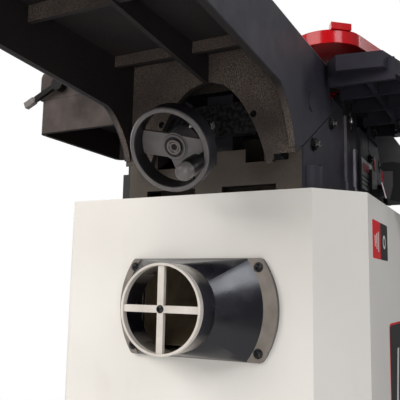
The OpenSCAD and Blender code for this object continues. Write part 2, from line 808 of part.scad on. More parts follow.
ledge_top = table_z;
ledge_bolt_x = [128, 172];
ledge_bolt_z = table_z - 24;
function ledge_outline() = [[-172, -158], [-164, -214.5], [-60, -244], [-20, -250], [164, -250], [190, -240],
    [198, -222], [194, ledge_in], [-150, ledge_in]];
module ledge_inset() {
    polygon([[-161, -160], [-156, -206], [-58, -235], [-18, -241], [161, -241], [184, -232],
        [188, -220], [185, ledge_in - 9], [-144, ledge_in - 9]]);
}
module rabbet_ledge() {
    rim = 21;
    color([0.13, 0.13, 0.14]) difference() {
        union() {
            difference() {
                translate([0, 0, ledge_top - rim]) linear_extrude(rim) polygon(ledge_outline());
                translate([0, 0, ledge_top - rim - 1]) linear_extrude(rim - 7) ledge_inset();
            }
            for (x = [-148, -90, -20, 60, 150])
                block([x - 3, -226, ledge_top - 34], [x + 3, ledge_in - 2, ledge_top - 5]);
            block([-148, -196, ledge_top - 34], [150, -190, ledge_top - 5]);
            translate([guard_pivot[0], guard_pivot[1], ledge_top - 34]) cylinder(r = 18, h = 33);
            block([108, ledge_in - 2, ledge_top - 40], [192, front_y - clear, ledge_top - 5]);
        }
        translate([guard_pivot[0], guard_pivot[1], 0]) cylinder(r = 9, h = 2000);
        for (x = ledge_bolt_x) rod_y([x, -230, ledge_bolt_z], 4.1, 100);
    }
}
module ledge_bolts() {
    color("dimgray") for (x = ledge_bolt_x) {
        rod_y([x, ledge_in - 2 - e, ledge_bolt_z], 4, 17);
        rod_y([x, ledge_in - 10, ledge_bolt_z], 6.5, 8);
    }
}
module guard_post() {
    color("silver") translate([guard_pivot[0], guard_pivot[1], 0]) {
        translate([0, 0, ledge_top - 52]) cylinder(r = 8.95, h = guard_top - 4 - ledge_top + 52);
        translate([0, 0, ledge_top - 56]) cylinder(r = 13, h = 5);
        translate([0, 0, ledge_top + 0.3]) cylinder(r = 14, h = guard_low - ledge_top - 0.6);
    }
}
// Round wire wound into a coil that climbs by one pitch a turn
module coil(radius, wire, pitch, turns) {
    per_turn = 20;
    sides = 8;
    last = per_turn * turns;
    points = [for (i = [0 : last], k = [0 : sides - 1])
        let (a = 360 * i / per_turn, b = 360 * k / sides, r = radius + wire * cos(b))
        [r * cos(a), r * sin(a), pitch * i / per_turn + wire * sin(b)]];
    walls = [for (i = [0 : last - 1], k = [0 : sides - 1])
        let (next = (k + 1) % sides)
        [i * sides + k, i * sides + next, (i + 1) * sides + next, (i + 1) * sides + k]];
    start = [for (k = [sides - 1 : -1 : 0]) k];
    finish = [for (k = [0 : sides - 1]) last * sides + k];
    polyhedron(points, concat(walls, [start, finish]));
}
module guard_spring() {
    color("silver") translate([guard_pivot[0], guard_pivot[1], ledge_top - 48]) coil(11.5, 1.3, 3, 4);
}
guard_lobes = [[-133, -137, 48.5], [guard_pivot[0], guard_pivot[1], 28], [0, 17, 45]];
module guard_outline(inset) {
    hull() for (l = guard_lobes) translate([l[0], l[1]]) circle(l[2] - inset, $fn = 96);
}
module cutter_guard() {
    wall = 4;
    color([0.85, 0.03, 0.05]) difference() {
        union() {
            difference() {
                union() {
                    translate([0, 0, guard_low]) linear_extrude(guard_top - guard_low - 2) guard_outline(0);
                    translate([0, 0, guard_top - 2 - e]) linear_extrude(2) guard_outline(1.5);
                }
                translate([0, 0, guard_low - 1])
                    linear_extrude(guard_top - guard_low - wall + 1) guard_outline(wall);
            }
            translate([guard_pivot[0], guard_pivot[1], guard_low]) cylinder(r = 16, h = 16);
            // flat finger knob on the nose
            translate([-168, -162, guard_top - 1]) rotate([0, 0, -50]) linear_extrude(9)
                polygon([[-14, -7], [14, -7], [11, 7], [-11, 7]]);
        }
        translate([guard_pivot[0], guard_pivot[1], guard_low - 1])
            cylinder(r = 9, h = guard_top - 3 - guard_low);
    }
}
module depth_scale() {
    color("silver") block([150, base_front - 1.2, stand_h + 46], [172, base_front - e, stand_h + 88]);
}
module depth_pointer() {
    color("red") union() {
        block([158, front_y - 2.2, way_at(-160) - 14], [161, front_y - 1.2, way_at(-160) + 14]);
        block([156, front_y - 2.2, way_at(-160) + 6], [163, front_y - clear / 10, way_at(-160) + 18]);
    }
}

// ---------- fence ----------

module bracket_plan(inset) {
    half = bracket_x - inset;
    polygon(concat([[-half, base_rear + inset], [half, base_rear + inset]],
        rear_corners(half, bracket_rear - inset, 15 - min(inset, 8))));
}
module fence_bracket() {
    wall = 8;
    color([0.17, 0.16, 0.19]) difference() {
        union() {
            difference() {
                translate([0, 0, bracket_low]) linear_extrude(bracket_top - bracket_low) bracket_plan(0.2);
                translate([0, 0, bracket_low - 1])
                    linear_extrude(bracket_top - bracket_low - wall + 1) bracket_plan(wall);
            }
            // pad that is bolted to the back of the base
            block([-108, base_rear + 0.2, bracket_low - 80], [108, base_rear + wall, bracket_low + 1]);
            block([-12, base_rear + 12, bracket_top - e], [12, bracket_rear - 8, bracket_top + 6]);
        }
        block([-66, base_rear - 1, 0], [66, base_rear + wall + 1, head_z + 36]);
        for (s = [-1, 1], z = [bracket_low - 60, bracket_low - 20])
            rod_y([s * 88, base_rear - 5, z], 5.1, 30);
    }
}
function carriage_side() = [[112, bracket_top + 0.4], [bracket_rear - 1, bracket_top + 0.4],
    [bracket_rear - 1, carriage_top - 9],
    [bracket_rear - 4, carriage_top - 3], [bracket_rear - 10, carriage_top],
    [165, carriage_top], [112, bracket_top + 12]];
module fence_carriage() {
    wall = 8;
    hx = bracket_x - 0.5;
    color([0.19, 0.18, 0.21]) difference() {
        union() {
            end(carriage_side(), -hx, hx);
            for (s = [-1, 1]) mirror([s > 0 ? 0 : 1, 0, 0]) {
                end([[pivot_y, pivot_z - fence_t / 2], [101, pivot_z - fence_t / 2],
                    [101, bracket_top + 0.4], [130, bracket_top + 0.4],
                    [130, bracket_top + 20], [102, bracket_top + 3.5],
                    [88, pivot_z + 6], [pivot_y, pivot_z + 6]],
                    arm_x[0], arm_x[1]);
                rod_x([arm_x[0], pivot_y, pivot_z], fence_t / 2, arm_x[1] - arm_x[0]);
            }
        }
        block([-12.4, 0, bracket_top - 1], [12.4, bracket_rear + 1, bracket_top + 6.5]);
        block([wall - hx, 180, bracket_top - 1], [hx - wall, bracket_rear - wall - 1, carriage_top - wall]);
        for (s = [-1, 1]) mirror([s > 0 ? 0 : 1, 0, 0]) rod_x([arm_x[0] - 1, pivot_y, pivot_z], 3, 40);
        rod_x([-hx - 1, 329, bracket_top + 22], 5.1, 12);
    }
}
notch_x = [75.5, 118];
module fence_plate() {
    top = pivot_z + fence_h - fence_t / 2;
    color([0.18, 0.17, 0.2]) difference() {
        union() {
            block([-fence_l / 2, fence_y, pivot_z], [fence_l / 2, fence_y + fence_t, top]);
            rod_x([-fence_l / 2, pivot_y, pivot_z], fence_t / 2, fence_l);
            for (s = [-1, 1]) mirror([s > 0 ? 0 : 1, 0, 0]) {
                block([150, pivot_y, top - 10], [fence_l / 2 - 20, fence_y + 26, top]);
                block([150, pivot_y, pivot_z + 26], [fence_l / 2 - 20, fence_y + 26, pivot_z + 34]);
                for (x = [150, 250, 350, 452])
                    block([x, pivot_y, pivot_z + 26 + e], [x + 8, fence_y + 26, top - e]);
            }
        }
        for (s = [-1, 1]) mirror([s > 0 ? 0 : 1, 0, 0]) {
            block([notch_x[0], 0, 0], [notch_x[1], 200, pivot_z + 19]);
            rod_x([notch_x[0] - 12, pivot_y, pivot_z], 3.05, 70);
        }
    }
}
module fence_hinge_pins() {
    color("silver") for (s = [-1, 1]) mirror([s > 0 ? 0 : 1, 0, 0])
        rod_x([notch_x[0] - 10, pivot_y, pivot_z], 3, notch_x[1] - notch_x[0] + 20);
}
// Flat lever at the carriage's end with a grey tip
module fence_lock_lever() {
    at = [-bracket_x, 329, bracket_top + 22];
    color([0.1, 0.1, 0.11]) translate(at) {
        rod_x([-14, 0, 0], 12, 13.2);
        rod_x([-2, 0, 0], 5, 10);
        rotate([-24, 0, 0]) {
            block([-13, 0, -4.5], [-6, 58, 4.5]);
            block([-14, 56, -5.5], [-5, 77, 5.5]);
        }
    }
}
module tilt_lock_lever() {
    x0 = arm_x[1] + 1;
    color([0.1, 0.1, 0.11]) difference() {
        union() {
            rod_x([x0, pivot_y, pivot_z], 6, 14);
            block([x0 + 2, pivot_y, pivot_z - 4], [x0 + 12, 98, pivot_z + 4]);
            rod_y([x0 + 7, 97, pivot_z], 5, 4);
        }
        rod_x([x0 - 1, pivot_y, pivot_z], 3.05, 20);
    }
}

// ---------- control box ----------

module control_box() {
    low = stand_h + 8;
    y_in = base_front - 3.2;
    cheek = [[-174, low + 102], panel_top, panel_low, [panel_low[0], low], [-190, low]];
    body = [[-174, low + 102], panel_top, panel_low, [-205, low + 25], [-186, low + 25]];
    color([0.12, 0.12, 0.13]) difference() {
        union() {
            end(cheek, box_x[0], box_x[0] + cheek_t);
            end(body, box_x[0], box_x[1]);
            block([104, -186, stand_h + 44], [146, y_in, stand_h + 50]);
            block([104, y_in - 5, stand_h + 44], [146, y_in, stand_h + 84]);
        }
        on_panel(start_at) translate([0, 0, -5]) cylinder(r = 11.3, h = 10);
        on_panel(stop_at) translate([-4.2, -4.2, -12]) cube([8.4, 8.4, 20]);
    }
}
start_at = [28, 55];
stop_at = [100, 48];
// Local Z points out of the sloping panel; x along the tables, y up the panel from its low edge
module on_panel(at) {
    translate([at[0], panel_low[0], panel_low[1]])
        rotate([panel_angle, 0, 0]) translate([0, at[1], 0]) children();
}
module start_button() {
    color([0.05, 0.5, 0.15]) on_panel(start_at) translate([0, 0, -1]) cylinder(r = 11, h = 6);
}
module stop_paddle() {
    color([0.8, 0.05, 0.05]) on_panel(stop_at) {
        translate([-4, -4, -5]) cube([8, 8, 14]);
        translate([-32, -38, 8]) cube([64, 76, 9]);
    }
}

stand_shell();
stand_top_plate();
stand_base_frame();
rear_panel();
rear_panel_screws();
dust_port();
dust_port_screws();
cross_screw();
chip_chute();
motor_mount();
motor_body();
motor_fan_cover();
motor_terminal_box();
motor_shaft();
motor_fan();
motor_pulley();
drive_belts();
belt_guard();
cable_gland();
base_casting();
base_bolts();
gib_screws();
outfeed_gib();
infeed_gib();
bearing_blocks();
block_bolts();
head_bearings();
cutterhead();
cutter_inserts();
head_pulley();
outfeed_table();
infeed_table();
outfeed_screw_bracket();
infeed_screw_bracket();
outfeed_nut_block();
infeed_nut_block();
outfeed_lead_screw();
infeed_lead_screw();
outfeed_handwheel();
infeed_handwheel();
outfeed_grip();
infeed_grip();
outfeed_lock_lever();
infeed_lock_lever();
rabbet_ledge();
ledge_bolts();
guard_post();
guard_spring();
cutter_guard();
depth_scale();
depth_pointer();
fence_bracket();
fence_carriage();
fence_plate();
fence_hinge_pins();
fence_lock_lever();
tilt_lock_lever();
control_box();
start_button();
stop_paddle();
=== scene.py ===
import json
import math

import bmesh
import bpy
from mathutils import Matrix, Quaternion, Vector


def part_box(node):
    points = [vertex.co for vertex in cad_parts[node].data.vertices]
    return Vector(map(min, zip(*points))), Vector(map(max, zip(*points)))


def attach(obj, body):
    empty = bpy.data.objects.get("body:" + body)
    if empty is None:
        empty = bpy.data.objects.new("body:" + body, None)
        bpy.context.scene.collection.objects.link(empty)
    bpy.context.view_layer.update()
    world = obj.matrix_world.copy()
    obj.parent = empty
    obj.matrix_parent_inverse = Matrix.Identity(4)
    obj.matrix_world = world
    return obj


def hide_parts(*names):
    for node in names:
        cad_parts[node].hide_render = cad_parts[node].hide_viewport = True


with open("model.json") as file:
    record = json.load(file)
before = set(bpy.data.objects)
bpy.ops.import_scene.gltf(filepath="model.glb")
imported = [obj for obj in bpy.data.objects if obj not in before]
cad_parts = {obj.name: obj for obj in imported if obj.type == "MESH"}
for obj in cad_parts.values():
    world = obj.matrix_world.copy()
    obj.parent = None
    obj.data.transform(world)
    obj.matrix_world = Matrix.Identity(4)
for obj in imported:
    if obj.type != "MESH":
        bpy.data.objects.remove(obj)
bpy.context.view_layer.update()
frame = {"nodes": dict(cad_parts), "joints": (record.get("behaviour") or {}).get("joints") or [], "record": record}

MM = 0.001

# ---------- places taken from the frame ----------

NODES = frame["nodes"]
JOINTS = {joint["name"]: joint for joint in frame["joints"]}
MOUNTS = {mount["name"]: mount for mount in frame["record"]["mounts"]}

SIDES = ("outfeed", "infeed")
STAND_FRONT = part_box("stand_shell")[0].y
TABLE_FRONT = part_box("outfeed_table")[0].y
TABLE_REAR = 89.5 * MM
TABLE_TOP = MOUNTS["outfeed_surface"]["pos_m"][2]
BASE_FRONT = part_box("base_casting")[0].y
BASE_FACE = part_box("depth_scale")[1].y  # the flat front that the ribs stand out from
BASE_REAR = 100 * MM
RIBS = (-48 * MM, 8 * MM)  # X of the two front ribs that show beside the console
RIB_HALF = 8 * MM
PANEL_EDGE = (-199 * MM, 755 * MM)  # Y and Z of the upper edge of the console's sloping face

# X range and Z range of the blank plates: two on the stand's front and one on the base's
TAG = ((-162 * MM, -66 * MM), (571 * MM, 618 * MM))
LABEL = ((-67 * MM, 167 * MM), (330 * MM, 489 * MM))
PLATE = ((50 * MM, 144 * MM), (694 * MM, 744 * MM))

# ---------- finishes ----------


def tone(red, green, blue):
    """Linear colour from screen values of 0 to 255."""

    def linear(value):
        value /= 255
        return value / 12.92 if value <= 0.04045 else ((value + 0.055) / 1.055) ** 2.4

    return (linear(red), linear(green), linear(blue), 1.0)


BLUE_BLACK = tone(39, 37, 45)
GREY_PAINT = tone(48, 46, 54)


class Finish:
    """A node material: a Principled shader, and short ways to give it texture in object space."""

    def __init__(self, name, colour, roughness, metallic=0.0):
        self.material = bpy.data.materials.new(name)
        self.material.use_nodes = True
        self.tree = self.material.node_tree
        self.shader = self.tree.nodes["Principled BSDF"]
        self.place = self.add("ShaderNodeTexCoord").outputs["Object"]
        self.normal = None
        self.set("Base Color", colour)
        self.set("Roughness", roughness)
        self.set("Metallic", metallic)

    def add(self, kind):
        return self.tree.nodes.new(kind)

    def feed(self, value, socket):
        if isinstance(value, bpy.types.NodeSocket):
            self.tree.links.new(value, socket)
        else:
            socket.default_value = value

    def set(self, socket, value):
        self.feed(value, self.shader.inputs[socket])

    def noise(self, scale, detail=2.0, stretch=(1, 1, 1)):
        """Noise of so many cells a metre, drawn out along an axis where stretch is small."""
        spread = self.add("ShaderNodeMapping")
        self.feed(self.place, spread.inputs["Vector"])
        spread.inputs["Scale"].default_value = stretch
        node = self.add("ShaderNodeTexNoise")
        self.feed(spread.outputs[0], node.inputs["Vector"])
        node.inputs["Scale"].default_value = scale
        node.inputs["Detail"].default_value = detail
        return node.outputs["Fac"]

    def remap(self, value, low, high, to_low=0.0, to_high=1.0):
        """Carries the range low to high over to another range, and holds at its ends."""
        node = self.add("ShaderNodeMapRange")
        self.feed(value, node.inputs["Value"])
        for name, number in zip(("From Min", "From Max", "To Min", "To Max"), (low, high, to_low, to_high)):
            node.inputs[name].default_value = number
        return node.outputs["Result"]

    def math(self, kind, a, b=0.0):
        node = self.add("ShaderNodeMath")
        node.operation = kind
        self.feed(a, node.inputs[0])
        self.feed(b, node.inputs[1])
        return node.outputs[0]

    def mix(self, share, a, b):
        """Colour a where share is 0 and b where it is 1."""
        node = self.add("ShaderNodeMix")
        node.data_type = "RGBA"
        self.feed(share, node.inputs[0])
        self.feed(a, node.inputs[6])
        self.feed(b, node.inputs[7])
        return node.outputs[2]

    def blend(self, share, a, b):
        """Number a where share is 0 and b where it is 1."""
        node = self.add("ShaderNodeMix")
        self.feed(share, node.inputs[0])
        self.feed(a, node.inputs[2])
        self.feed(b, node.inputs[3])
        return node.outputs[0]

    def axis(self, letter):
        if not hasattr(self, "split"):
            self.split = self.add("ShaderNodeSeparateXYZ")
            self.feed(self.place, self.split.inputs[0])
        return self.split.outputs[letter]

    def beyond(self, letter, edge):
        """1 where the coordinate is past edge."""
        return self.math("GREATER_THAN", self.axis(letter), edge)

    def before(self, letter, edge):
        return self.math("LESS_THAN", self.axis(letter), edge)

    def end_on(self):
        """1 on faces that look along X, either way."""
        split = self.add("ShaderNodeSeparateXYZ")
        self.feed(self.add("ShaderNodeTexCoord").outputs["Normal"], split.inputs[0])
        return self.remap(self.math("ABSOLUTE", split.outputs["X"]), 0.45, 0.75)

    def along(self, axis):
        """Distance along a direction through the origin."""
        node = self.add("ShaderNodeVectorMath")
        node.operation = "DOT_PRODUCT"
        self.feed(self.place, node.inputs[0])
        node.inputs[1].default_value = axis
        return node.outputs["Value"]

    def from_axis(self, origin, axis):
        """Distance from a line."""
        arm = self.add("ShaderNodeVectorMath")
        arm.operation = "SUBTRACT"
        self.feed(self.place, arm.inputs[0])
        arm.inputs[1].default_value = origin
        cross = self.add("ShaderNodeVectorMath")
        cross.operation = "CROSS_PRODUCT"
        self.feed(arm.outputs["Vector"], cross.inputs[0])
        cross.inputs[1].default_value = axis
        size = self.add("ShaderNodeVectorMath")
        size.operation = "LENGTH"
        self.feed(cross.outputs["Vector"], size.inputs[0])
        return size.outputs["Value"]

    def bump(self, height, depth, strength):
        """Raises the surface by up to depth; a second bump adds to the first."""
        node = self.add("ShaderNodeBump")
        self.feed(height, node.inputs["Height"])
        node.inputs["Distance"].default_value = depth
        self.feed(strength, node.inputs["Strength"])
        if self.normal is not None:
            self.feed(self.normal, node.inputs["Normal"])
        self.normal = node.outputs[0]
        self.set("Normal", self.normal)

    def worn(self, scale, share):
        """Roughness that wanders a little round its own value."""
        base = self.shader.inputs["Roughness"].default_value
        low, high = base - share / 2, base + share / 2
        self.set("Roughness", self.remap(self.noise(scale, 4.0), 0.3, 0.7, low, high))


def enamel():
    """Off-white baked enamel on sheet steel, with a faint orange peel and handling marks."""
    f = Finish("stand_enamel", tone(226, 222, 215), 0.34)
    patches = f.remap(f.noise(5, 4.0), 0.35, 0.7)
    clean = f.mix(patches, tone(229, 225, 218), tone(222, 217, 209))
    smears = f.remap(f.noise(22, 5.0, (1, 1, 0.4)), 0.62, 0.8, 0.0, 0.35)
    f.set("Base Color", f.mix(smears, clean, tone(212, 206, 197)))
    f.worn(14, 0.10)
    f.bump(f.noise(700, 2.0), 0.04 * MM, 0.35)
    f.bump(f.noise(3.2, 1.0), 2 * MM, 0.10)
    return f


def casting(name, front, rear, outside, end_dark, end_light, grain, top=None):
    """Cast iron: painted with outside beyond the planes y = front and y = rear, and ground above the height top.
    Between the planes, faces that look along X take a sand-grained tone made light as painted light, and other
    faces a near-black painted shade."""
    f = Finish(name, outside, 0.42)
    fine = f.noise(780, 4.0)
    cloud = f.remap(f.noise(9, 4.0), 0.35, 0.7)
    specks = f.remap(fine, 0.38, 0.76)
    drift = f.remap(f.noise(14, 3.0), 0.3, 0.72, 0.15, 1.0)
    share = f.math("MULTIPLY", f.blend(grain, cloud, specks), drift)
    # faces that look along X: sand grain in a tone lightened as painted light where the key lamp falls
    grain_and_lit_ends = f.mix(share, end_dark, end_light)
    # other inner faces: near-black painted shade under the casting
    painted_shade = f.mix(cloud, tone(20, 16, 16), tone(33, 27, 26))
    inner = f.mix(f.end_on(), painted_shade, grain_and_lit_ends)
    smooth = f.math("MAXIMUM", f.before("Y", front), f.beyond("Y", rear))
    painted = f.mix(cloud, outside, GREY_PAINT)
    colour = f.mix(smooth, inner, painted)
    roughness = f.blend(smooth, 0.7, f.remap(f.noise(40, 4.0), 0.3, 0.7, 0.42, 0.56))
    f.set("Specular IOR Level", 0.32)
    if top is not None:
        lines = f.noise(260, 3.0, (0.02, 1, 1))
        steel = f.mix(f.remap(lines, 0.3, 0.7), tone(176, 177, 178), tone(214, 215, 216))
        ground = f.beyond("Z", top)
        colour = f.mix(ground, colour, steel)
        roughness = f.blend(ground, roughness, f.remap(lines, 0.3, 0.7, 0.22, 0.36))
        f.set("Metallic", f.math("MULTIPLY", ground, 0.55))
    f.set("Base Color", colour)
    f.set("Roughness", roughness)
    f.bump(fine, 1.1 * MM, f.math("MULTIPLY", f.blend(smooth, 0.8, 0.0), grain))
    f.bump(f.noise(160, 3.0), 0.4 * MM, 0.22)
    return f


def table_finish():
    """The tables' iron, with a ground top and sand-grained end webs lightened as painted light."""
    # end-face tones; the light one is painted light on faces that look along X
    grain_and_lit_ends = (tone(54, 46, 43), tone(146, 131, 117))
    front = TABLE_FRONT + 3 * MM
    return casting("black_casting", front, TABLE_REAR, BLUE_BLACK, *grain_and_lit_ends, 1.0, TABLE_TOP - 0.4 * MM)


def base_finish():
    """The base's iron, with painted highlights on the crests of two front ribs, end faces lightened as painted
    light, and near-black at the rear.
    """
    # end-face tones; the light one is painted light on faces that look along X
    grain_and_lit_ends = (tone(62, 55, 48), tone(116, 106, 94))
    f = casting("base_iron", BASE_FRONT + 16 * MM, BASE_REAR, BLUE_BLACK, *grain_and_lit_ends, 0.4)
    painted = f.shader.inputs["Base Color"].links[0].from_socket
    # painted highlight: pale strips on the crests of the two front ribs, in noisy patches
    crest = f.before("Y", BASE_FACE - 0.25 * MM)
    gaps = [f.math("ABSOLUTE", f.math("SUBTRACT", f.axis("X"), x)) for x in RIBS]
    faint, strong = (f.math("LESS_THAN", gap, RIB_HALF) for gap in gaps)
    pale = f.math("ADD", f.math("MULTIPLY", faint, 0.35), strong)
    wear_and_light_patches = f.remap(f.noise(30, 3.0), 0.25, 0.5, 0.6, 1.0)
    share = f.math("MULTIPLY", crest, f.math("MULTIPLY", pale, wear_and_light_patches))
    ribbed = f.mix(share, painted, tone(172, 164, 172))
    f.set("Base Color", f.mix(f.beyond("Y", BASE_REAR), ribbed, tone(20, 18, 18)))
    return f


def painted_iron(name, colour, shine=0.32):
    """Smooth paint on iron, clouded towards grey."""
    f = Finish(name, colour, 0.42)
    f.set("Base Color", f.mix(f.remap(f.noise(9, 4.0), 0.35, 0.7), colour, GREY_PAINT))
    f.set("Roughness", f.remap(f.noise(40, 4.0), 0.3, 0.7, 0.42, 0.56))
    f.set("Specular IOR Level", shine)
    f.bump(f.noise(160, 3.0), 0.4 * MM, 0.22)
    return f


def bracket_iron():
    """Painted iron, near-black, with a warm, cloudy grey on the faces that look along X as painted light where the
    key lamp falls.
    """
    f = Finish("plain_iron", tone(46, 39, 36), 0.6)
    wear_and_light_patches = f.mix(f.remap(f.noise(22, 5.0), 0.3, 0.7), tone(52, 44, 41), tone(86, 77, 73))
    # faces that look along X: lighter grey as painted light; other faces near-black
    f.set("Base Color", f.mix(f.end_on(), tone(24, 18, 17), wear_and_light_patches))
    f.set("Specular IOR Level", 0.15)
    f.bump(f.noise(320, 3.0), 0.4 * MM, 0.4)
    return f


def ground_steel():
    """Steel with grinding marks along X."""
    f = Finish("machined_steel", tone(188, 189, 190), 0.28, 0.6)
    lines = f.noise(300, 3.0, (0.02, 1, 1))
    f.set("Base Color", f.mix(f.remap(lines, 0.3, 0.7), tone(174, 175, 177), tone(212, 213, 214)))
    f.set("Roughness", f.remap(lines, 0.3, 0.7, 0.20, 0.36))
    f.bump(lines, 0.05 * MM, 0.4)
    return f


def turned_steel(name, colour, roughness=0.25):
    """Round stock with a fine grain and an uneven sheen."""
    f = Finish(name, colour, roughness, 1.0)
    f.worn(90, 0.16)
    f.bump(f.noise(520, 2.0), 0.05 * MM, 0.35)
    return f


def zinc():
    """Zinc-plated sheet with a faint spangle."""
    f = Finish("zinc_steel", tone(150, 150, 148), 0.35, 1.0)
    spangle = f.remap(f.noise(240, 2.0), 0.35, 0.65)
    f.set("Base Color", f.mix(spangle, tone(120, 120, 118), tone(176, 175, 170)))
    f.worn(160, 0.2)
    return f


def black_oxide(name):
    """Blackened steel, worn grey in patches."""
    f = Finish(name, tone(38, 37, 38), 0.36, 0.7)
    f.set("Base Color", f.mix(f.remap(f.noise(210, 3.0), 0.4, 0.75), tone(30, 29, 31), tone(74, 72, 72)))
    f.worn(120, 0.2)
    return f


def plastic(name, colour, light, roughness=0.36, grain=650):
    """Moulded plastic with a fine spark-eroded grain."""
    f = Finish(name, colour, roughness)
    f.set("Base Color", f.mix(f.remap(f.noise(28, 4.0), 0.4, 0.75), colour, light))
    f.worn(60, 0.14)
    f.bump(f.noise(grain, 3.0), 0.12 * MM, 0.5)
    return f


def gloss(name, colour, deep):
    """Glossy moulding with hairline scuffs."""
    f = Finish(name, colour, 0.20)
    f.set("Base Color", f.mix(f.remap(f.noise(9, 3.0), 0.35, 0.7), colour, deep))
    scuffs = f.remap(f.noise(70, 5.0, (1, 0.08, 1)), 0.6, 0.78)
    f.set("Roughness", f.blend(scuffs, 0.18, 0.34))
    f.set("Specular IOR Level", 0.35)
    f.bump(f.noise(40, 2.0), 0.2 * MM, 0.25)
    return f


def rubber():
    """Dusty rubber of a V-belt."""
    f = Finish("belt_rubber", tone(28, 28, 29), 0.7)
    f.set("Base Color", f.mix(f.remap(f.noise(380, 4.0), 0.45, 0.8), tone(24, 24, 25), tone(62, 60, 58)))
    f.bump(f.noise(900, 2.0, (1, 0.15, 1)), 0.2 * MM, 0.6)
    return f


def wheel_grey(side):
    """Cast wheel: satin grey on the front, with a blue-black tread and a dark inner wall that are painted shade.
    """
    f = Finish(f"{side}_wheel_grey", tone(88, 84, 82), 0.44)
    joint = JOINTS[f"{side}_wheel_turn"]
    away = f.from_axis(joint["pos_m"], joint["axis"])
    front = f.mix(f.remap(f.noise(60, 4.0), 0.35, 0.75), tone(84, 80, 79), tone(102, 97, 95))
    # painted shade: the tread and the rim's inner wall are near-black
    tread = f.math("GREATER_THAN", away, 47.0 * MM)
    past_wall = f.math("GREATER_THAN", away, 40.2 * MM)
    before_rim = f.math("LESS_THAN", away, 41.9 * MM)
    wall = f.math("MULTIPLY", past_wall, before_rim)
    colour = f.mix(tread, front, tone(24, 22, 27))
    f.set("Base Color", f.mix(wall, colour, tone(20, 17, 17)))
    f.worn(50, 0.12)
    f.bump(f.noise(620, 2.0), 0.12 * MM, 0.5)
    return f


def grip_plastic(side):
    """Black handle with the grey domed end of its pin."""
    f = Finish(f"{side}_grip_plastic", tone(24, 24, 26), 0.34)
    joint = JOINTS[f"{side}_grip_spin"]
    axis = Vector(joint["axis"])
    ends = [v.co.dot(axis) for v in NODES[f"{side}_grip"].data.vertices]
    dome = f.math("LESS_THAN", f.along(axis), min(ends) + 13 * MM)
    f.set("Base Color", f.mix(dome, tone(14, 13, 14), tone(98, 93, 91)))
    f.set("Specular IOR Level", 0.3)
    f.worn(70, 0.12)
    f.bump(f.noise(600, 2.0), 0.1 * MM, 0.4)
    return f


def lever_black():
    """Black fence lock lever with a pale rubbed tip."""
    f = Finish("lever_black", tone(22, 21, 22), 0.4)
    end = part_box("fence_lock_lever")[1].y
    wear_and_light_patches = f.remap(f.noise(90, 4.0), 0.3, 0.6, 0.6, 1.0)
    tip = f.math("MULTIPLY", f.beyond("Y", end - 24 * MM), wear_and_light_patches)
    f.set("Base Color", f.mix(tip, tone(14, 12, 12), tone(120, 114, 112)))
    f.set("Specular IOR Level", 0.12)
    f.worn(70, 0.12)
    f.bump(f.noise(500, 2.0), 0.1 * MM, 0.4)
    return f


def port_plastic():
    """Black glossy duct with a painted reflection of the white stand along the top and bottom of its collar, and
    pale grey faces at its mouth and flange as painted light from the key lamp.
    """
    f = Finish("port_casting", tone(30, 31, 35), 0.2)
    low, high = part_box("dust_port")
    hub_height = MOUNTS["dust_port"]["pos_m"][2]
    collar_end = -284.5 * MM
    wear_and_light_patches = f.remap(f.noise(45, 5.0), 0.3, 0.75)
    black = f.mix(f.remap(f.noise(18, 5.0), 0.45, 0.8), tone(20, 20, 26), tone(46, 46, 54))
    # painted reflection of the white stand: a pale band along the top and bottom of the collar
    height = f.math("ABSOLUTE", f.math("SUBTRACT", f.axis("Z"), hub_height))
    collar = f.math("MULTIPLY", f.before("X", collar_end), f.remap(height, 26 * MM, 44 * MM))
    collar_reflection = f.math("MULTIPLY", collar, f.remap(wear_and_light_patches, 0.0, 1.0, 0.55, 0.9))
    colour = f.mix(collar_reflection, black, tone(158, 149, 138))
    # painted light: the mouth's end and the flange's end faces are pale grey where they face the key lamp, mottled
    # in patches
    cross = f.before("X", low.x + 7.4 * MM)
    colour = f.mix(cross, colour, f.mix(wear_and_light_patches, tone(190, 182, 172), tone(216, 209, 200)))
    flange = f.math("MULTIPLY", f.beyond("X", high.x - 6.6 * MM), f.end_on())
    colour = f.mix(flange, colour, f.mix(wear_and_light_patches, tone(104, 96, 88), tone(136, 127, 118)))
    face = f.math("MAXIMUM", cross, flange)
    f.set("Base Color", colour)
    f.set("Roughness", f.blend(face, f.remap(f.noise(30, 5.0), 0.3, 0.7, 0.14, 0.30), 0.5))
    f.bump(f.noise(90, 3.0), 0.4 * MM, 0.16)
    return f


def film(name, colour, other, roughness=0.55):
    """Printed vinyl, ink or thin moulding, clouded towards a second colour."""
    f = Finish(name, colour, roughness)
    f.set("Base Color", f.mix(f.remap(f.noise(50, 4.0), 0.4, 0.8), colour, other))
    f.set("Specular IOR Level", 0.25)
    f.bump(f.noise(120, 2.0), 0.1 * MM, 0.3)
    return f


def dress(finish, *nodes):
    """Gives CAD nodes a finish in place of their plain one."""
    for node in nodes:
        for entry in NODES[node].material_slots:
            entry.material = finish.material


# ---------- making pieces ----------


def smooth_group():
    """Geometry nodes that shade every face smooth, so that rounded edges read as round."""
    group = bpy.data.node_groups.new("shade_smooth", "GeometryNodeTree")
    group.interface.new_socket("Geometry", in_out="INPUT", socket_type="NodeSocketGeometry")
    group.interface.new_socket("Geometry", in_out="OUTPUT", socket_type="NodeSocketGeometry")
    start = group.nodes.new("NodeGroupInput")
    shade = group.nodes.new("GeometryNodeSetShadeSmooth")
    end = group.nodes.new("NodeGroupOutput")
    group.links.new(start.outputs[0], shade.inputs[0])
    group.links.new(shade.outputs[0], end.inputs[0])
    return group


SMOOTH = smooth_group()
CREASE = math.radians(35)  # edges of new pieces that turn more than this stay sharp


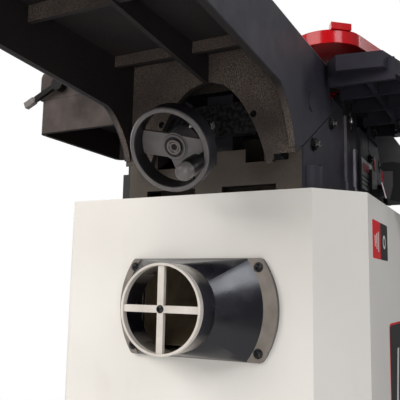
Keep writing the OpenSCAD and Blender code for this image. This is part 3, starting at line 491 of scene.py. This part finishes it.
def soften(radius, *nodes, angle=28, segments=2):
    """Rounds the sharp edges of CAD nodes, as casting and moulding do."""
    for node in nodes:
        item = NODES[node]
        item.modifiers.new("smooth", "NODES").node_group = SMOOTH
        item.modifiers.new("weld", "WELD").merge_threshold = 0.01 * MM
        flat = item.modifiers.new("flat", "DECIMATE")
        flat.decimate_type = "DISSOLVE"
        flat.angle_limit = math.radians(0.4)
        edge = item.modifiers.new("edge", "BEVEL")
        edge.width = radius
        edge.segments = segments
        edge.limit_method = "ANGLE"
        edge.angle_limit = math.radians(angle)
        edge.use_clamp_overlap = True
        item.modifiers.new("normals", "WEIGHTED_NORMAL").keep_sharp = False


def new_piece(name, points, faces, finish, body, slot, at):
    """A piece from points and faces, placed by the matrix at, that rides on a body."""
    mesh = bpy.data.meshes.new(name)
    mesh.from_pydata(points, [], faces)
    mesh.validate()
    work = bmesh.new()
    work.from_mesh(mesh)
    bmesh.ops.recalc_face_normals(work, faces=work.faces)
    work.to_mesh(mesh)
    work.free()
    mesh.materials.append(finish.material)
    mesh.shade_smooth()
    mesh.set_sharp_from_angle(angle=CREASE)
    piece = bpy.data.objects.new(name, mesh)
    bpy.context.scene.collection.objects.link(piece)
    piece.matrix_world = at
    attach(piece, body)
    return piece


def circle(radius, steps):
    """Points round a circle in X and Y."""
    angles = [2 * math.pi * i / steps for i in range(steps)]
    return [(radius * math.cos(a), radius * math.sin(a)) for a in angles]


def lathe(profile, steps=48):
    """Points and faces of (radius, height) pairs turned round Z; a radius of 0 closes an end."""
    points, faces, rings = [], [], []
    for radius, height in profile:
        if radius < 1e-7:
            rings.append([len(points)])
            points.append((0, 0, height))
            continue
        rings.append(list(range(len(points), len(points) + steps)))
        points += [(x, y, height) for x, y in circle(radius, steps)]
    for a, b in zip(rings, rings[1:]):
        for i in range(steps):
            j = (i + 1) % steps
            corners = [a[i % len(a)], a[j % len(a)], b[j % len(b)], b[i % len(b)]]
            faces.append(list(dict.fromkeys(corners)))
    return points, faces


def turned(profile, steps=48):
    """A lathe of a profile in millimetres."""
    return lathe([(radius * MM, height * MM) for radius, height in profile], steps)


def slab(outline, low, high, round_off=0.0):
    """An outline in X and Y between two heights, with its upper edge chamfered by round_off."""
    n = len(outline)
    centre = Vector((sum(p[0] for p in outline) / n, sum(p[1] for p in outline) / n))

    def ring(shrink, height):
        moved = [Vector(p) - (Vector(p) - centre).normalized() * shrink for p in outline]
        return [(p.x, p.y, height) for p in moved]

    levels = [ring(0, low), ring(0, high - round_off), ring(round_off, high)]
    if not round_off:
        del levels[1]
    points = [p for level in levels for p in level]
    faces = [list(range(n))[::-1], [len(points) - n + i for i in range(n)]]
    for k in range(len(levels) - 1):
        for i in range(n):
            j = (i + 1) % n
            faces.append([k * n + i, k * n + j, (k + 1) * n + j, (k + 1) * n + i])
    return points, faces


def rounded(width, height, radius, steps=6):
    """Outline of a rectangle with round corners, about its middle."""
    points = []
    for quarter, (sx, sy) in enumerate(((1, 1), (-1, 1), (-1, -1), (1, -1))):
        for i in range(steps + 1):
            a = math.pi / 2 * (quarter + i / steps)
            x = sx * (width / 2 - radius) + radius * math.cos(a)
            y = sy * (height / 2 - radius) + radius * math.sin(a)
            points.append((x, y))
    return points


def facing(at, out, up=(0, 0, 1)):
    """Matrix at a point whose Z points along out and whose Y is as near up as it can be."""
    z = Vector(out).normalized()
    x = Vector(up).cross(z).normalized()
    y = z.cross(x)
    turn = Matrix((x, y, z)).transposed().to_4x4()
    return Matrix.Translation(Vector(at)) @ turn


def carve(piece, points, faces):
    """Cuts a shape, given in the piece's own space, out of a piece."""
    mesh = bpy.data.meshes.new("cutter")
    mesh.from_pydata(points, [], faces)
    tool = bpy.data.objects.new("cutter", mesh)
    bpy.context.scene.collection.objects.link(tool)
    tool.matrix_world = piece.matrix_world
    cut = piece.modifiers.new("cut", "BOOLEAN")
    cut.object = tool
    cut.solver = "EXACT"
    bpy.context.view_layer.update()
    seen = piece.evaluated_get(bpy.context.evaluated_depsgraph_get())
    result = bpy.data.meshes.new_from_object(seen)
    piece.modifiers.clear()
    piece.data = result
    result.set_sharp_from_angle(angle=CREASE)
    bpy.data.objects.remove(tool)


def quarter_turns(points, count):
    """Points turned about the origin by so many quarter turns."""
    for _ in range(count):
        points = [(-y, x) for x, y in points]
    return points


def pan_head(name, at, radius, height, finish, body, slot):
    """Screw with a domed head and a cross recess."""
    steps = 6
    angles = [math.pi / 2 * i / steps for i in range(steps)]
    arc = [(radius * math.cos(a), height * (0.25 + 0.75 * math.sin(a))) for a in angles]
    dome = [(radius * 0.98, 0)] + arc + [(0, height)]
    piece = new_piece(name, *lathe(dome, 32), finish, body, slot, at)
    close_base(piece)
    blade, reach = radius * 0.16, radius * 0.58
    arm = [(blade, reach), (-blade, reach), (-blade, blade)]
    cross = [corner for turn in range(4) for corner in quarter_turns(arm, turn)]
    carve(piece, *slab(cross, height * 0.45, height * 1.5))
    return piece


def close_base(piece):
    """Fills the open ring that a lathe leaves when its profile doesn't start on the axis."""
    work = bmesh.new()
    work.from_mesh(piece.data)
    bmesh.ops.holes_fill(work, edges=[e for e in work.edges if e.is_boundary])
    bmesh.ops.recalc_face_normals(work, faces=work.faces)
    work.to_mesh(piece.data)
    work.free()


def cap_screw(name, at, radius, height, finish, body, slot):
    """Socket-head screw: a chamfered cylinder with a hexagon socket."""
    edge = radius * 0.1
    profile = [(0, 0), (radius, 0), (radius, height - edge), (radius - edge, height), (0, height)]
    piece = new_piece(name, *lathe(profile, 40), finish, body, slot, at)
    carve(piece, *slab(circle(radius * 0.55, 6), height * 0.45, height * 1.5))
    return piece


def solids(node):
    """(lowest corner, highest corner) of each separate solid in a CAD node, lowest X first."""
    mesh = NODES[node].data
    keys = {}
    for v in mesh.vertices:
        keys.setdefault(tuple(round(c, 6) for c in v.co), len(keys))
    index = [keys[tuple(round(c, 6) for c in v.co)] for v in mesh.vertices]
    root = list(range(len(keys)))

    def find(i):
        while root[i] != i:
            root[i] = root[root[i]]
            i = root[i]
        return i

    for edge in mesh.edges:
        a, b = (find(index[v]) for v in edge.vertices)
        root[a] = b
    groups = {}
    for v in mesh.vertices:
        groups.setdefault(find(index[v.index]), []).append(v.co)
    boxes = []
    for group in groups.values():
        axes = list(zip(*group))
        boxes.append((Vector([min(axis) for axis in axes]), Vector([max(axis) for axis in axes])))
    return sorted(boxes, key=lambda box: tuple(box[0]))


def outer(box, out):
    """The middle of a solid's outermost face along out."""
    low, high = box
    centre, out = (low + high) / 2, Vector(out)
    reach = sum(abs(out[i]) * (high[i] - low[i]) / 2 for i in range(3))
    return centre + out * reach


# ---------- materials of the CAD nodes ----------

white = enamel()
zinc_plate = zinc()
steel = ground_steel()
round_steel = turned_steel("round_steel", tone(190, 190, 190))
hub_steel = turned_steel("hub_steel", tone(112, 106, 103), 0.34)
bolt_grey = turned_steel("bolt_grey", tone(150, 145, 142), 0.3)
dark_steel = black_oxide("black_steel")
table_iron = table_finish()
base_iron = base_finish()
plain_iron = bracket_iron()
dark_iron = painted_iron("dark_iron", tone(20, 18, 18))
ledge_iron = painted_iron("ledge_iron", tone(20, 19, 21), 0.06)
black_plastic = plastic("black_plastic", tone(26, 26, 28), tone(46, 45, 46))
motor_grey = plastic("motor_paint", tone(34, 36, 40), tone(52, 54, 58), 0.42, 260)
hub_grey = plastic("hub_grey", tone(84, 80, 79), tone(102, 97, 95), 0.44, 620)
# near-black film used as painted shade inside the hub bolts' sockets
socket_shade = film("socket_shade", tone(10, 9, 9), tone(14, 13, 13))
red_film = film("red_film", tone(216, 22, 30), tone(200, 16, 26))
dark_film = film("dark_film", tone(30, 27, 28), tone(42, 38, 39))
pale_film = film("pale_film", tone(214, 212, 208), tone(196, 194, 190))

dress(white, "stand_shell", "rear_panel")
dress(black_oxide("frame_steel"), "stand_base_frame", "motor_mount", "belt_guard", "outfeed_screw_bracket",
      "infeed_screw_bracket")
dress(zinc_plate, "stand_top_plate", "rear_panel_screws")
dress(film("chute_dust", tone(150, 134, 108), tone(120, 106, 84), 0.8), "chip_chute")
dress(port_plastic(), "dust_port")
dress(motor_grey, "motor_body", "motor_fan_cover", "motor_terminal_box")
dress(round_steel, "motor_shaft", "outfeed_lead_screw", "infeed_lead_screw", "head_bearings", "guard_post",
      "fence_hinge_pins", "guard_spring")
dress(turned_steel("pulley_alloy", tone(176, 177, 180), 0.32), "motor_pulley", "head_pulley")
dress(turned_steel("cutterhead_steel", tone(170, 171, 174), 0.28), "cutterhead")
dress(turned_steel("carbide", tone(120, 122, 128), 0.2), "cutter_inserts")
dress(rubber(), "drive_belts")
dress(black_plastic, "motor_fan", "cable_gland", "control_box", "outfeed_lock_lever", "infeed_lock_lever",
      "tilt_lock_lever")
for side in SIDES:
    dress(grip_plastic(side), f"{side}_grip")
    dress(wheel_grey(side), f"{side}_handwheel")
dress(lever_black(), "fence_lock_lever")
dress(table_iron, "outfeed_table", "infeed_table")
dress(ledge_iron, "rabbet_ledge")
dress(base_iron, "base_casting")
dress(plain_iron, "fence_bracket", "fence_carriage")
dress(dark_iron, "bearing_blocks", "outfeed_nut_block", "infeed_nut_block")
dress(dark_steel, "base_bolts", "dust_port_screws", "cross_screw", "gib_screws", "block_bolts",
      "ledge_bolts", "outfeed_gib", "infeed_gib")
dress(steel, "fence_plate")
dress(gloss("guard_red", tone(196, 0, 14), tone(160, 0, 10)), "cutter_guard", "depth_pointer")
dress(film("scale_plate", tone(74, 72, 72), tone(60, 58, 58)), "depth_scale")
dress(gloss("start_green", tone(30, 140, 70), tone(22, 112, 54)), "start_button")
dress(gloss("stop_red", tone(204, 28, 32), tone(172, 18, 24)), "stop_paddle")

soften(2.2 * MM, "outfeed_table", "infeed_table", "base_casting", "fence_bracket", "fence_carriage")
soften(1.6 * MM, "stand_shell", "cutter_guard", "control_box", "stop_paddle", segments=3)
soften(1.6 * MM, "rabbet_ledge", "bearing_blocks", "outfeed_nut_block", "infeed_nut_block", "motor_mount")
soften(1.2 * MM, "outfeed_handwheel", "infeed_handwheel", "outfeed_grip", "infeed_grip")
soften(1.0 * MM, "dust_port", angle=32)
soften(1.0 * MM, "motor_body", "motor_terminal_box", "motor_fan_cover", "belt_guard", "cable_gland")
soften(0.8 * MM, "outfeed_lock_lever", "infeed_lock_lever", "fence_lock_lever", "tilt_lock_lever",
       "fence_plate")
soften(0.8 * MM, "outfeed_screw_bracket", "infeed_screw_bracket", "gib_screws", "base_bolts", "block_bolts",
       "ledge_bolts")
soften(0.5 * MM, "rear_panel", "stand_base_frame", "chip_chute", "depth_scale", "depth_pointer")
soften(0.4 * MM, "start_button", "head_pulley", "motor_pulley", "cutterhead", "outfeed_lead_screw",
       "infeed_lead_screw")

# ---------- dust port ----------


def port_screws():
    """The flange's four pan-head screws and their washers."""
    for k, box in enumerate(solids("dust_port_screws")):
        radius = (box[1].y - box[0].y) / 2
        face = outer(box, (-1, 0, 0))
        height = 3.0 * MM
        at = facing(face + Vector((height, 0, 0)), (-1, 0, 0)) @ Matrix.Rotation(0.4 + k, 4, "Z")
        head = pan_head(f"port_screw_{k}", at, radius * 0.74, height, dark_steel, "stand", "black_steel")
        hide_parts("dust_port_screws")
        low, high = 0.1 * MM, 0.9 * MM
        ring = [(radius * 0.6, low), (radius * 1.05, low), (radius, high), (radius * 0.6, high)]
        new_piece(f"port_washer_{k}", *lathe(ring + ring[:1], 32), dark_steel, "stand", "black_steel", at)


def cross_screw():
    """The screw in the middle of the spigot's cross."""
    low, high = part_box("cross_screw")
    radius = (high.y - low.y) / 2
    height = 3 * MM
    at = facing((low.x + height, (low.y + high.y) / 2, (low.z + high.z) / 2), (-1, 0, 0))
    head = pan_head("cross_screw_head", at, radius, height, dark_steel, "stand", "black_steel")
    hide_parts("cross_screw")


port_screws()
cross_screw()

# ---------- plates and labels ----------


def sticker(name, at, width, height, finish, slot, thick=0.3 * MM, corner=3 * MM):
    """A thin plate with round corners on the stand."""
    shape = slab(rounded(width, height, corner), 0, thick, thick * 0.4)
    new_piece(name, *shape, finish, "stand", slot, at)


def front_at(x, z, lift=0.0):
    """A place on the stand's front, or so far proud of it."""
    return facing((x, STAND_FRONT - lift, z), (0, -1, 0))


def tag():
    """Small tag: three growing bars on red, and a ring on black."""
    (low, high), (bottom, top) = TAG
    seam, mid_z, height = (low + high) / 2, (bottom + top) / 2, top - bottom
    width = high - seam - 0.3 * MM
    dark_x = (seam + high) / 2
    sticker("tag_red", front_at((low + seam) / 2, mid_z), width, height, red_film, "guard_red")
    sticker("tag_dark", front_at(dark_x, mid_z), width, height, dark_film, "black_plastic")
    for k in range(3):
        bar = slab(rounded(4.5 * MM, height * (0.30 + 0.12 * k), 1.2 * MM), 0, 0.15 * MM, 0.05 * MM)
        at = front_at(low + (14 + 10 * k) * MM, mid_z - 2 * MM, 0.3 * MM)
        new_piece(f"tag_bar_{k}", *bar, pale_film, "stand", "scale_plate", at)
    ring = [(9, 0), (9, 0.12), (5.5, 0.12), (5.5, 0), (9, 0)]
    at = front_at(dark_x, mid_z, 0.3 * MM)
    new_piece("tag_ring", *turned(ring, 32), pale_film, "stand", "scale_plate", at)


def label():
    """Large label: a red border round a black field with three slanted stripes and a rule."""
    (low, high), (bottom, top) = LABEL
    width, height = high - low, top - bottom
    mid_x, mid_z = (low + high) / 2, (bottom + top) / 2
    thin, lift = 0.12 * MM, 0.38 * MM
    sticker("label_border", front_at(mid_x, mid_z), width, height, red_film, "guard_red", corner=9 * MM)
    sticker("label_field", front_at(mid_x, mid_z, 0.28 * MM), width - 5 * MM, height - 5 * MM, dark_film,
            "black_plastic", thin, 7 * MM)
    stripe = [(x * MM, y * MM) for x, y in ((-14, -38), (-2, -38), (14, 38), (2, 38))]
    for k in range(3):
        at = front_at(low + (55 + 34 * k) * MM, mid_z + 6 * MM, lift)
        new_piece(f"label_stripe_{k}", *slab(stripe, 0, thin), pale_film, "stand", "scale_plate", at)
    sticker("label_rule", front_at(mid_x, bottom + 22 * MM, lift), 190 * MM, 5 * MM, red_film, "guard_red",
            thin, 2.4 * MM)


def plate_strip(name, x_range, z_range, finish, slot, lift):
    """A sticker over a range of X and a range of Z on the base's front."""
    (left, right), (bottom, top) = x_range, z_range
    at = facing(((left + right) / 2, BASE_FACE - lift, (bottom + top) / 2), (0, -1, 0))
    sticker(name, at, right - left, top - bottom, finish, slot, 0.2 * MM, 1.5 * MM)


def plate():
    """Blank plate on the base's front: a small red block over grey lines."""
    (left, right), (bottom, top) = PLATE
    lift = 0.18 * MM
    grey = film("grey_film", tone(222, 228, 224), tone(196, 198, 198))
    heading = film("heading_film", tone(246, 120, 136), tone(232, 104, 120))
    ink = film("line_film", tone(120, 114, 118), tone(116, 110, 114))
    plate_strip("plate_field", *PLATE, grey, "scale_plate", 0)
    heading_x = (left + 22 * MM, right - 26 * MM)
    plate_strip("plate_heading", heading_x, (bottom + 30 * MM, top - 6 * MM), heading, "guard_red", lift)
    for k in range(3):
        x_range = (left + 8 * MM, right - (8 + 12 * k) * MM)
        z = bottom + (22 - 7 * k) * MM
        plate_strip(f"plate_line_{k}", x_range, (z - 2.4 * MM, z), ink, "black_plastic", lift)


def scale_marks():
    """Millimetre ticks on the depth scale."""
    low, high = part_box("depth_scale")
    ink = film("scale_ink", tone(190, 190, 188), tone(184, 184, 182))
    half = 0.16 * MM
    points, faces = [], []
    count = int((high.z - low.z) / MM) - 3
    for k in range(count):
        long = (8 if k % 10 == 0 else 5.5 if k % 5 == 0 else 3.5) * MM
        z = low.z + (2 + k) * MM
        bar, quads = slab([(0, -half), (long, -half), (long, half), (0, half)], 0, 0.08 * MM)
        faces += [[i + len(points) for i in face] for face in quads]
        points += [(x, y + z, h) for x, y, h in bar]
    at = facing((low.x + 1.5 * MM, low.y, 0), (0, -1, 0))
    new_piece("scale_ticks", points, faces, ink, "stand", "black_plastic", at)


tag()
label()
plate()
scale_marks()

# ---------- handwheels and lead screws ----------


def screw_frame(side, along):
    """Place on a table screw's axis, so far up it from its joint; Z points down at the wheel."""
    joint = JOINTS[f"{side}_wheel_turn"]
    axis = Vector(joint["axis"])
    return facing(Vector(joint["pos_m"]) + axis * along, -axis)


def wheel_hub(side):
    """The socket-head bolt, its washer, the ring they sit in, and a near-black disc of painted shade on the
    socket's floor; profiles are in millimetres.
    """
    body = f"{side}_wheel"
    face = screw_frame(side, 16 * MM)
    ring = [(11.4, 0), (14.2, 0), (13.9, 1.4), (13.2, 1.9), (11.8, 1.9), (11.4, 1.4), (11.4, 0)]
    new_piece(f"{side}_hub_ring", *turned(ring), hub_grey, body, "wheel_grey", face)
    washer = [(0, 0), (11.4, 0), (11.4, 0.5), (0, 0.5)]
    new_piece(f"{side}_hub_washer", *turned(washer), dark_steel, body, "black_steel", face)
    head = [(0, 0.3), (8.9, 0.3), (8.9, 2.0), (8.2, 2.8), (6.6, 2.8), (5.2, 1.6), (0, 1.6)]
    bolt = new_piece(f"{side}_hub_bolt", *turned(head), hub_steel, body, "zinc_steel", face)
    carve(bolt, *slab(circle(4.2 * MM, 6), 0.7 * MM, 4 * MM))
    # painted shade: a near-black disc on the floor of the hexagon socket
    shade_disc = [(0, 0.75), (3.5, 0.75), (3.5, 0.95), (0, 0.95)]
    new_piece(f"{side}_hub_socket", *turned(shade_disc, 24), socket_shade, body, "black_steel", face)


def thread(side):
    """Raised thread on the open part of a table screw, as a swept section of (radius, rise)."""
    radius, pitch, start, end = 8.0 * MM, 4.0 * MM, 92 * MM, 226 * MM
    root, crest = radius - 0.3 * MM, radius + 0.55 * MM
    section = ((root, -1.5 * MM), (crest, -0.4 * MM), (crest, 0.4 * MM), (root, 1.5 * MM))
    steps = 20
    total = int((end - start) / pitch * steps)
    points, faces = [], []
    for k in range(total + 1):
        a = 2 * math.pi * k / steps
        z = start + pitch * k / steps
        points += [(r * math.cos(a), r * math.sin(a), -(z + rise)) for r, rise in section]
        if k:
            p, q = 4 * (k - 1), 4 * k
            faces += [[p + i, p + (i + 1) % 4, q + (i + 1) % 4, q + i] for i in range(4)]
    faces += [[0, 1, 2, 3], [4 * total + i for i in (3, 2, 1, 0)]]
    at = screw_frame(side, 0)
    new_piece(f"{side}_thread", points, faces, round_steel, f"{side}_wheel", "machined_steel", at)


for side in SIDES:
    wheel_hub(side)
    thread(side)

# ---------- bolts ----------


def bracket_bolts(side, out):
    """Bolts that hold a table screw's cross bar to the table's webs."""
    body = f"{side}_table"
    low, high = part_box(f"{side}_screw_bracket")
    x = low.x if out < 0 else high.x
    for k, y in enumerate((low.y + 9 * MM, high.y - 9 * MM)):
        at = facing((x, y, (low.z + high.z) / 2 + 4 * MM), (out, 0, 0))
        cap_screw(f"{side}_bracket_bolt_{k}", at, 6.5 * MM, 6 * MM, dark_steel, body, "black_steel")


def panel_screws():
    """Pan-head screws of the rear panel."""
    for k, box in enumerate(solids("rear_panel_screws")):
        radius = (box[1].x - box[0].x) / 2
        height = 2.6 * MM
        face = outer(box, (0, 1, 0)) - Vector((0, height, 0))
        at = facing(face, (0, 1, 0)) @ Matrix.Rotation(0.3 + 0.7 * k, 4, "Z")
        head = pan_head(f"panel_screw_{k}", at, radius, height, zinc_plate, "stand", "zinc_steel")
        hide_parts("rear_panel_screws")


def gib_nuts():
    """Lock nut and stud end of each gib screw, standing out of the base's front."""
    for k, (low, high) in enumerate(solids("gib_screws")):
        face = Vector(((low.x + high.x) / 2, low.y + 2 * MM, (low.z + high.z) / 2))
        at = facing(face, (0, -1, 0)) @ Matrix.Rotation(0.5 + 0.9 * k, 4, "Z")
        nut = slab(circle(7.4 * MM, 6), 0, 5.5 * MM, 0.7 * MM)
        new_piece(f"gib_nut_{k}", *nut, dark_steel, "stand", "black_steel", at)
        end = at @ Matrix.Translation((0, 0, 5 * MM))
        cap_screw(f"gib_stud_{k}", end, 4 * MM, 4 * MM, bolt_grey, "stand", "zinc_steel")


gib_nuts()
bracket_bolts("outfeed", -1)
bracket_bolts("infeed", 1)
panel_screws()

# ---------- guard and console ----------


def guard_knob():
    """Flat knob over the guard's pivot."""
    x, y = JOINTS["guard_swing"]["pos_m"][:2]
    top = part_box("cutter_guard")[1].z
    knob = film("knob_red", tone(226, 92, 96), tone(214, 78, 84))
    profile = [(0, 0), (13, 0), (13.4, 1.0), (12.4, 4.2), (10.5, 5.2), (0, 5.4)]
    at = Matrix.Translation((x, y, top - 6 * MM))
    new_piece("guard_knob", *turned(profile), knob, "guard", "guard_red", at)


def start_bezel():
    """Plated ring round the start button, on the console's sloping face."""
    out = -Vector(JOINTS["start_press"]["axis"])
    low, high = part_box("start_button")
    hub = (low + high) / 2
    centre = hub - out * (hub - Vector((0, *PANEL_EDGE))).dot(out)
    profile = [(11.6, 0), (15, 0), (14.4, 1.6), (12.2, 1.6), (11.6, 0)]
    new_piece("start_bezel", *turned(profile), zinc_plate, "stand", "zinc_steel", facing(centre, out))


def console_cheek():
    """Moulded recess, pad and trim on the console's left cheek; outlines are (Y, Z) in millimetres."""
    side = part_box("control_box")[0].x
    recess = film("cheek_black", tone(12, 11, 12), tone(16, 15, 16))
    pad = film("cheek_grey", tone(66, 63, 62), tone(62, 59, 58))
    trim = film("cheek_trim", tone(226, 206, 208), tone(220, 200, 202))
    mark = film("cheek_mark", tone(150, 20, 34), tone(144, 18, 31))
    shapes = (
        ("cheek_recess", recess, "black_plastic", 0.3, [
            (-178, 709), (-184, 716), (-197, 716.5), (-212, 713), (-238, 704), (-247, 690), (-247, 658),
            (-207, 658), (-193, 661), (-198, 682), (-198, 703), (-185, 704)]),
        ("cheek_pad", pad, "black_plastic", 0.5, [
            (-185.6, 703), (-197.6, 702.6), (-197.2, 682.5), (-192.6, 663), (-188.6, 663.6), (-184.4, 683)]),
        ("cheek_trim", trim, "scale_plate", 0.4, [(-181.2, 687), (-183, 687), (-188.4, 664), (-186.6, 664)]),
        ("cheek_mark", mark, "guard_red", 0.4, [(-183.4, 703), (-185.2, 703), (-183, 688), (-181.2, 688)]),
    )
    at = facing((side, 0, 0), (-1, 0, 0))
    for name, finish, slot, thick, outline in shapes:
        flat = [(-y * MM, z * MM) for y, z in outline]
        new_piece(name, *slab(flat, 0, thick * MM), finish, "stand", slot, at)


guard_knob()
start_bezel()
console_cheek()

# ---------- stage ----------


def floor():
    """Pale round floor whose edge fades out into the white behind."""
    f = Finish("floor", tone(226, 226, 226), 0.7)
    reach = f.add("ShaderNodeVectorMath")
    reach.operation = "LENGTH"
    f.feed(f.place, reach.inputs[0])
    f.set("Base Color", f.mix(f.noise(6, 2.0), tone(228, 228, 228), tone(222, 222, 222)))
    f.set("Alpha", f.remap(reach.outputs["Value"], 1.25, 1.85, 1.0, 0.0))
    ring = [(x, y, 0) for x, y in circle(2.0, 96)]
    mesh = bpy.data.meshes.new("floor")
    mesh.from_pydata(ring, [], [list(range(len(ring)))])
    mesh.materials.append(f.material)
    ground = bpy.data.objects.new("floor", mesh)
    ground.location.z = -0.2 * MM
    bpy.context.scene.collection.objects.link(ground)


def softbox(name, at, towards, size, power, colour=(1, 1, 1)):
    """A rectangular lamp at a point, aimed at another."""
    lamp = bpy.data.lights.new(name, "AREA")
    lamp.shape = "RECTANGLE"
    lamp.size, lamp.size_y = size
    lamp.energy = power
    lamp.color = colour
    box = bpy.data.objects.new(name, lamp)
    box.location = at
    box.rotation_mode = "QUATERNION"
    box.rotation_quaternion = (Vector(towards) - Vector(at)).to_track_quat("-Z", "Y")
    bpy.context.scene.collection.objects.link(box)


def surroundings():
    """White behind the object, and a softer white for everything that is lit by it."""
    world = bpy.data.worlds.new("studio")
    bpy.context.scene.world = world
    world.use_nodes = True
    tree = world.node_tree
    tree.nodes.clear()
    path = tree.nodes.new("ShaderNodeLightPath")
    mix = tree.nodes.new("ShaderNodeMixShader")
    out = tree.nodes.new("ShaderNodeOutputWorld")
    for slot_number, strength in ((1, 0.22), (2, 1.0)):
        glow = tree.nodes.new("ShaderNodeBackground")
        glow.inputs["Color"].default_value = (1, 1, 1, 1)
        glow.inputs["Strength"].default_value = strength
        tree.links.new(glow.outputs[0], mix.inputs[slot_number])
    tree.links.new(path.outputs["Is Camera Ray"], mix.inputs[0])
    tree.links.new(mix.outputs[0], out.inputs[0])


def camera():
    """The photograph's viewing angle."""
    lens = bpy.data.cameras.new("camera")
    lens.lens = 53.98
    lens.sensor_width = 36
    lens.clip_start = 0.01
    view = bpy.data.objects.new("camera", lens)
    view.location = (-0.8943, -0.3431, 0.5348)
    forward = Vector((0.8788, 0.4559, 0.1407))
    roll = Quaternion((0, 0, 1), math.radians(1.06))
    view.rotation_mode = "QUATERNION"
    view.rotation_quaternion = forward.to_track_quat("-Z", "Y") @ roll
    bpy.context.scene.collection.objects.link(view)
    bpy.context.scene.camera = view


def lights():
    """A warm key from the left end, a weak cool front, two for highlights and four that fill."""
    softbox("key", (-2.1, 0.9, 1.75), (-0.2, 0, 0.7), (1.8, 1.5), 46, (1.0, 0.982, 0.962))
    softbox("front", (-0.2, -2.7, 1.5), (0, 0, 0.6), (1.8, 1.8), 2, (0.90, 0.94, 1.0))
    softbox("glint", (-1.36, -1.52, 1.76), (-0.27, -0.07, 0.5), (0.7, 0.85), 13, (0.90, 0.93, 1.0))
    softbox("streak", (1.48, -1.83, 1.8), (-0.15, -0.18, 0.85), (0.3, 0.9), 4)
    softbox("rear", (0.8, 2.6, 1.8), (0, 0, 0.6), (2.4, 1.8), 26)
    softbox("end", (2.8, 1.3, 1.6), (0, 0, 0.6), (1.8, 1.8), 20)
    softbox("top", (0, 0, 3.0), (0, 0, 0), (2.4, 2.4), 10)
    softbox("low", (-1.5, -0.5, 0.3), (-0.3, 0, 0.75), (0.7, 0.4), 4)


floor()
surroundings()
lights()
camera()
bpy.context.scene.view_settings.view_transform = "Standard"
bpy.context.scene.view_settings.look = "None"
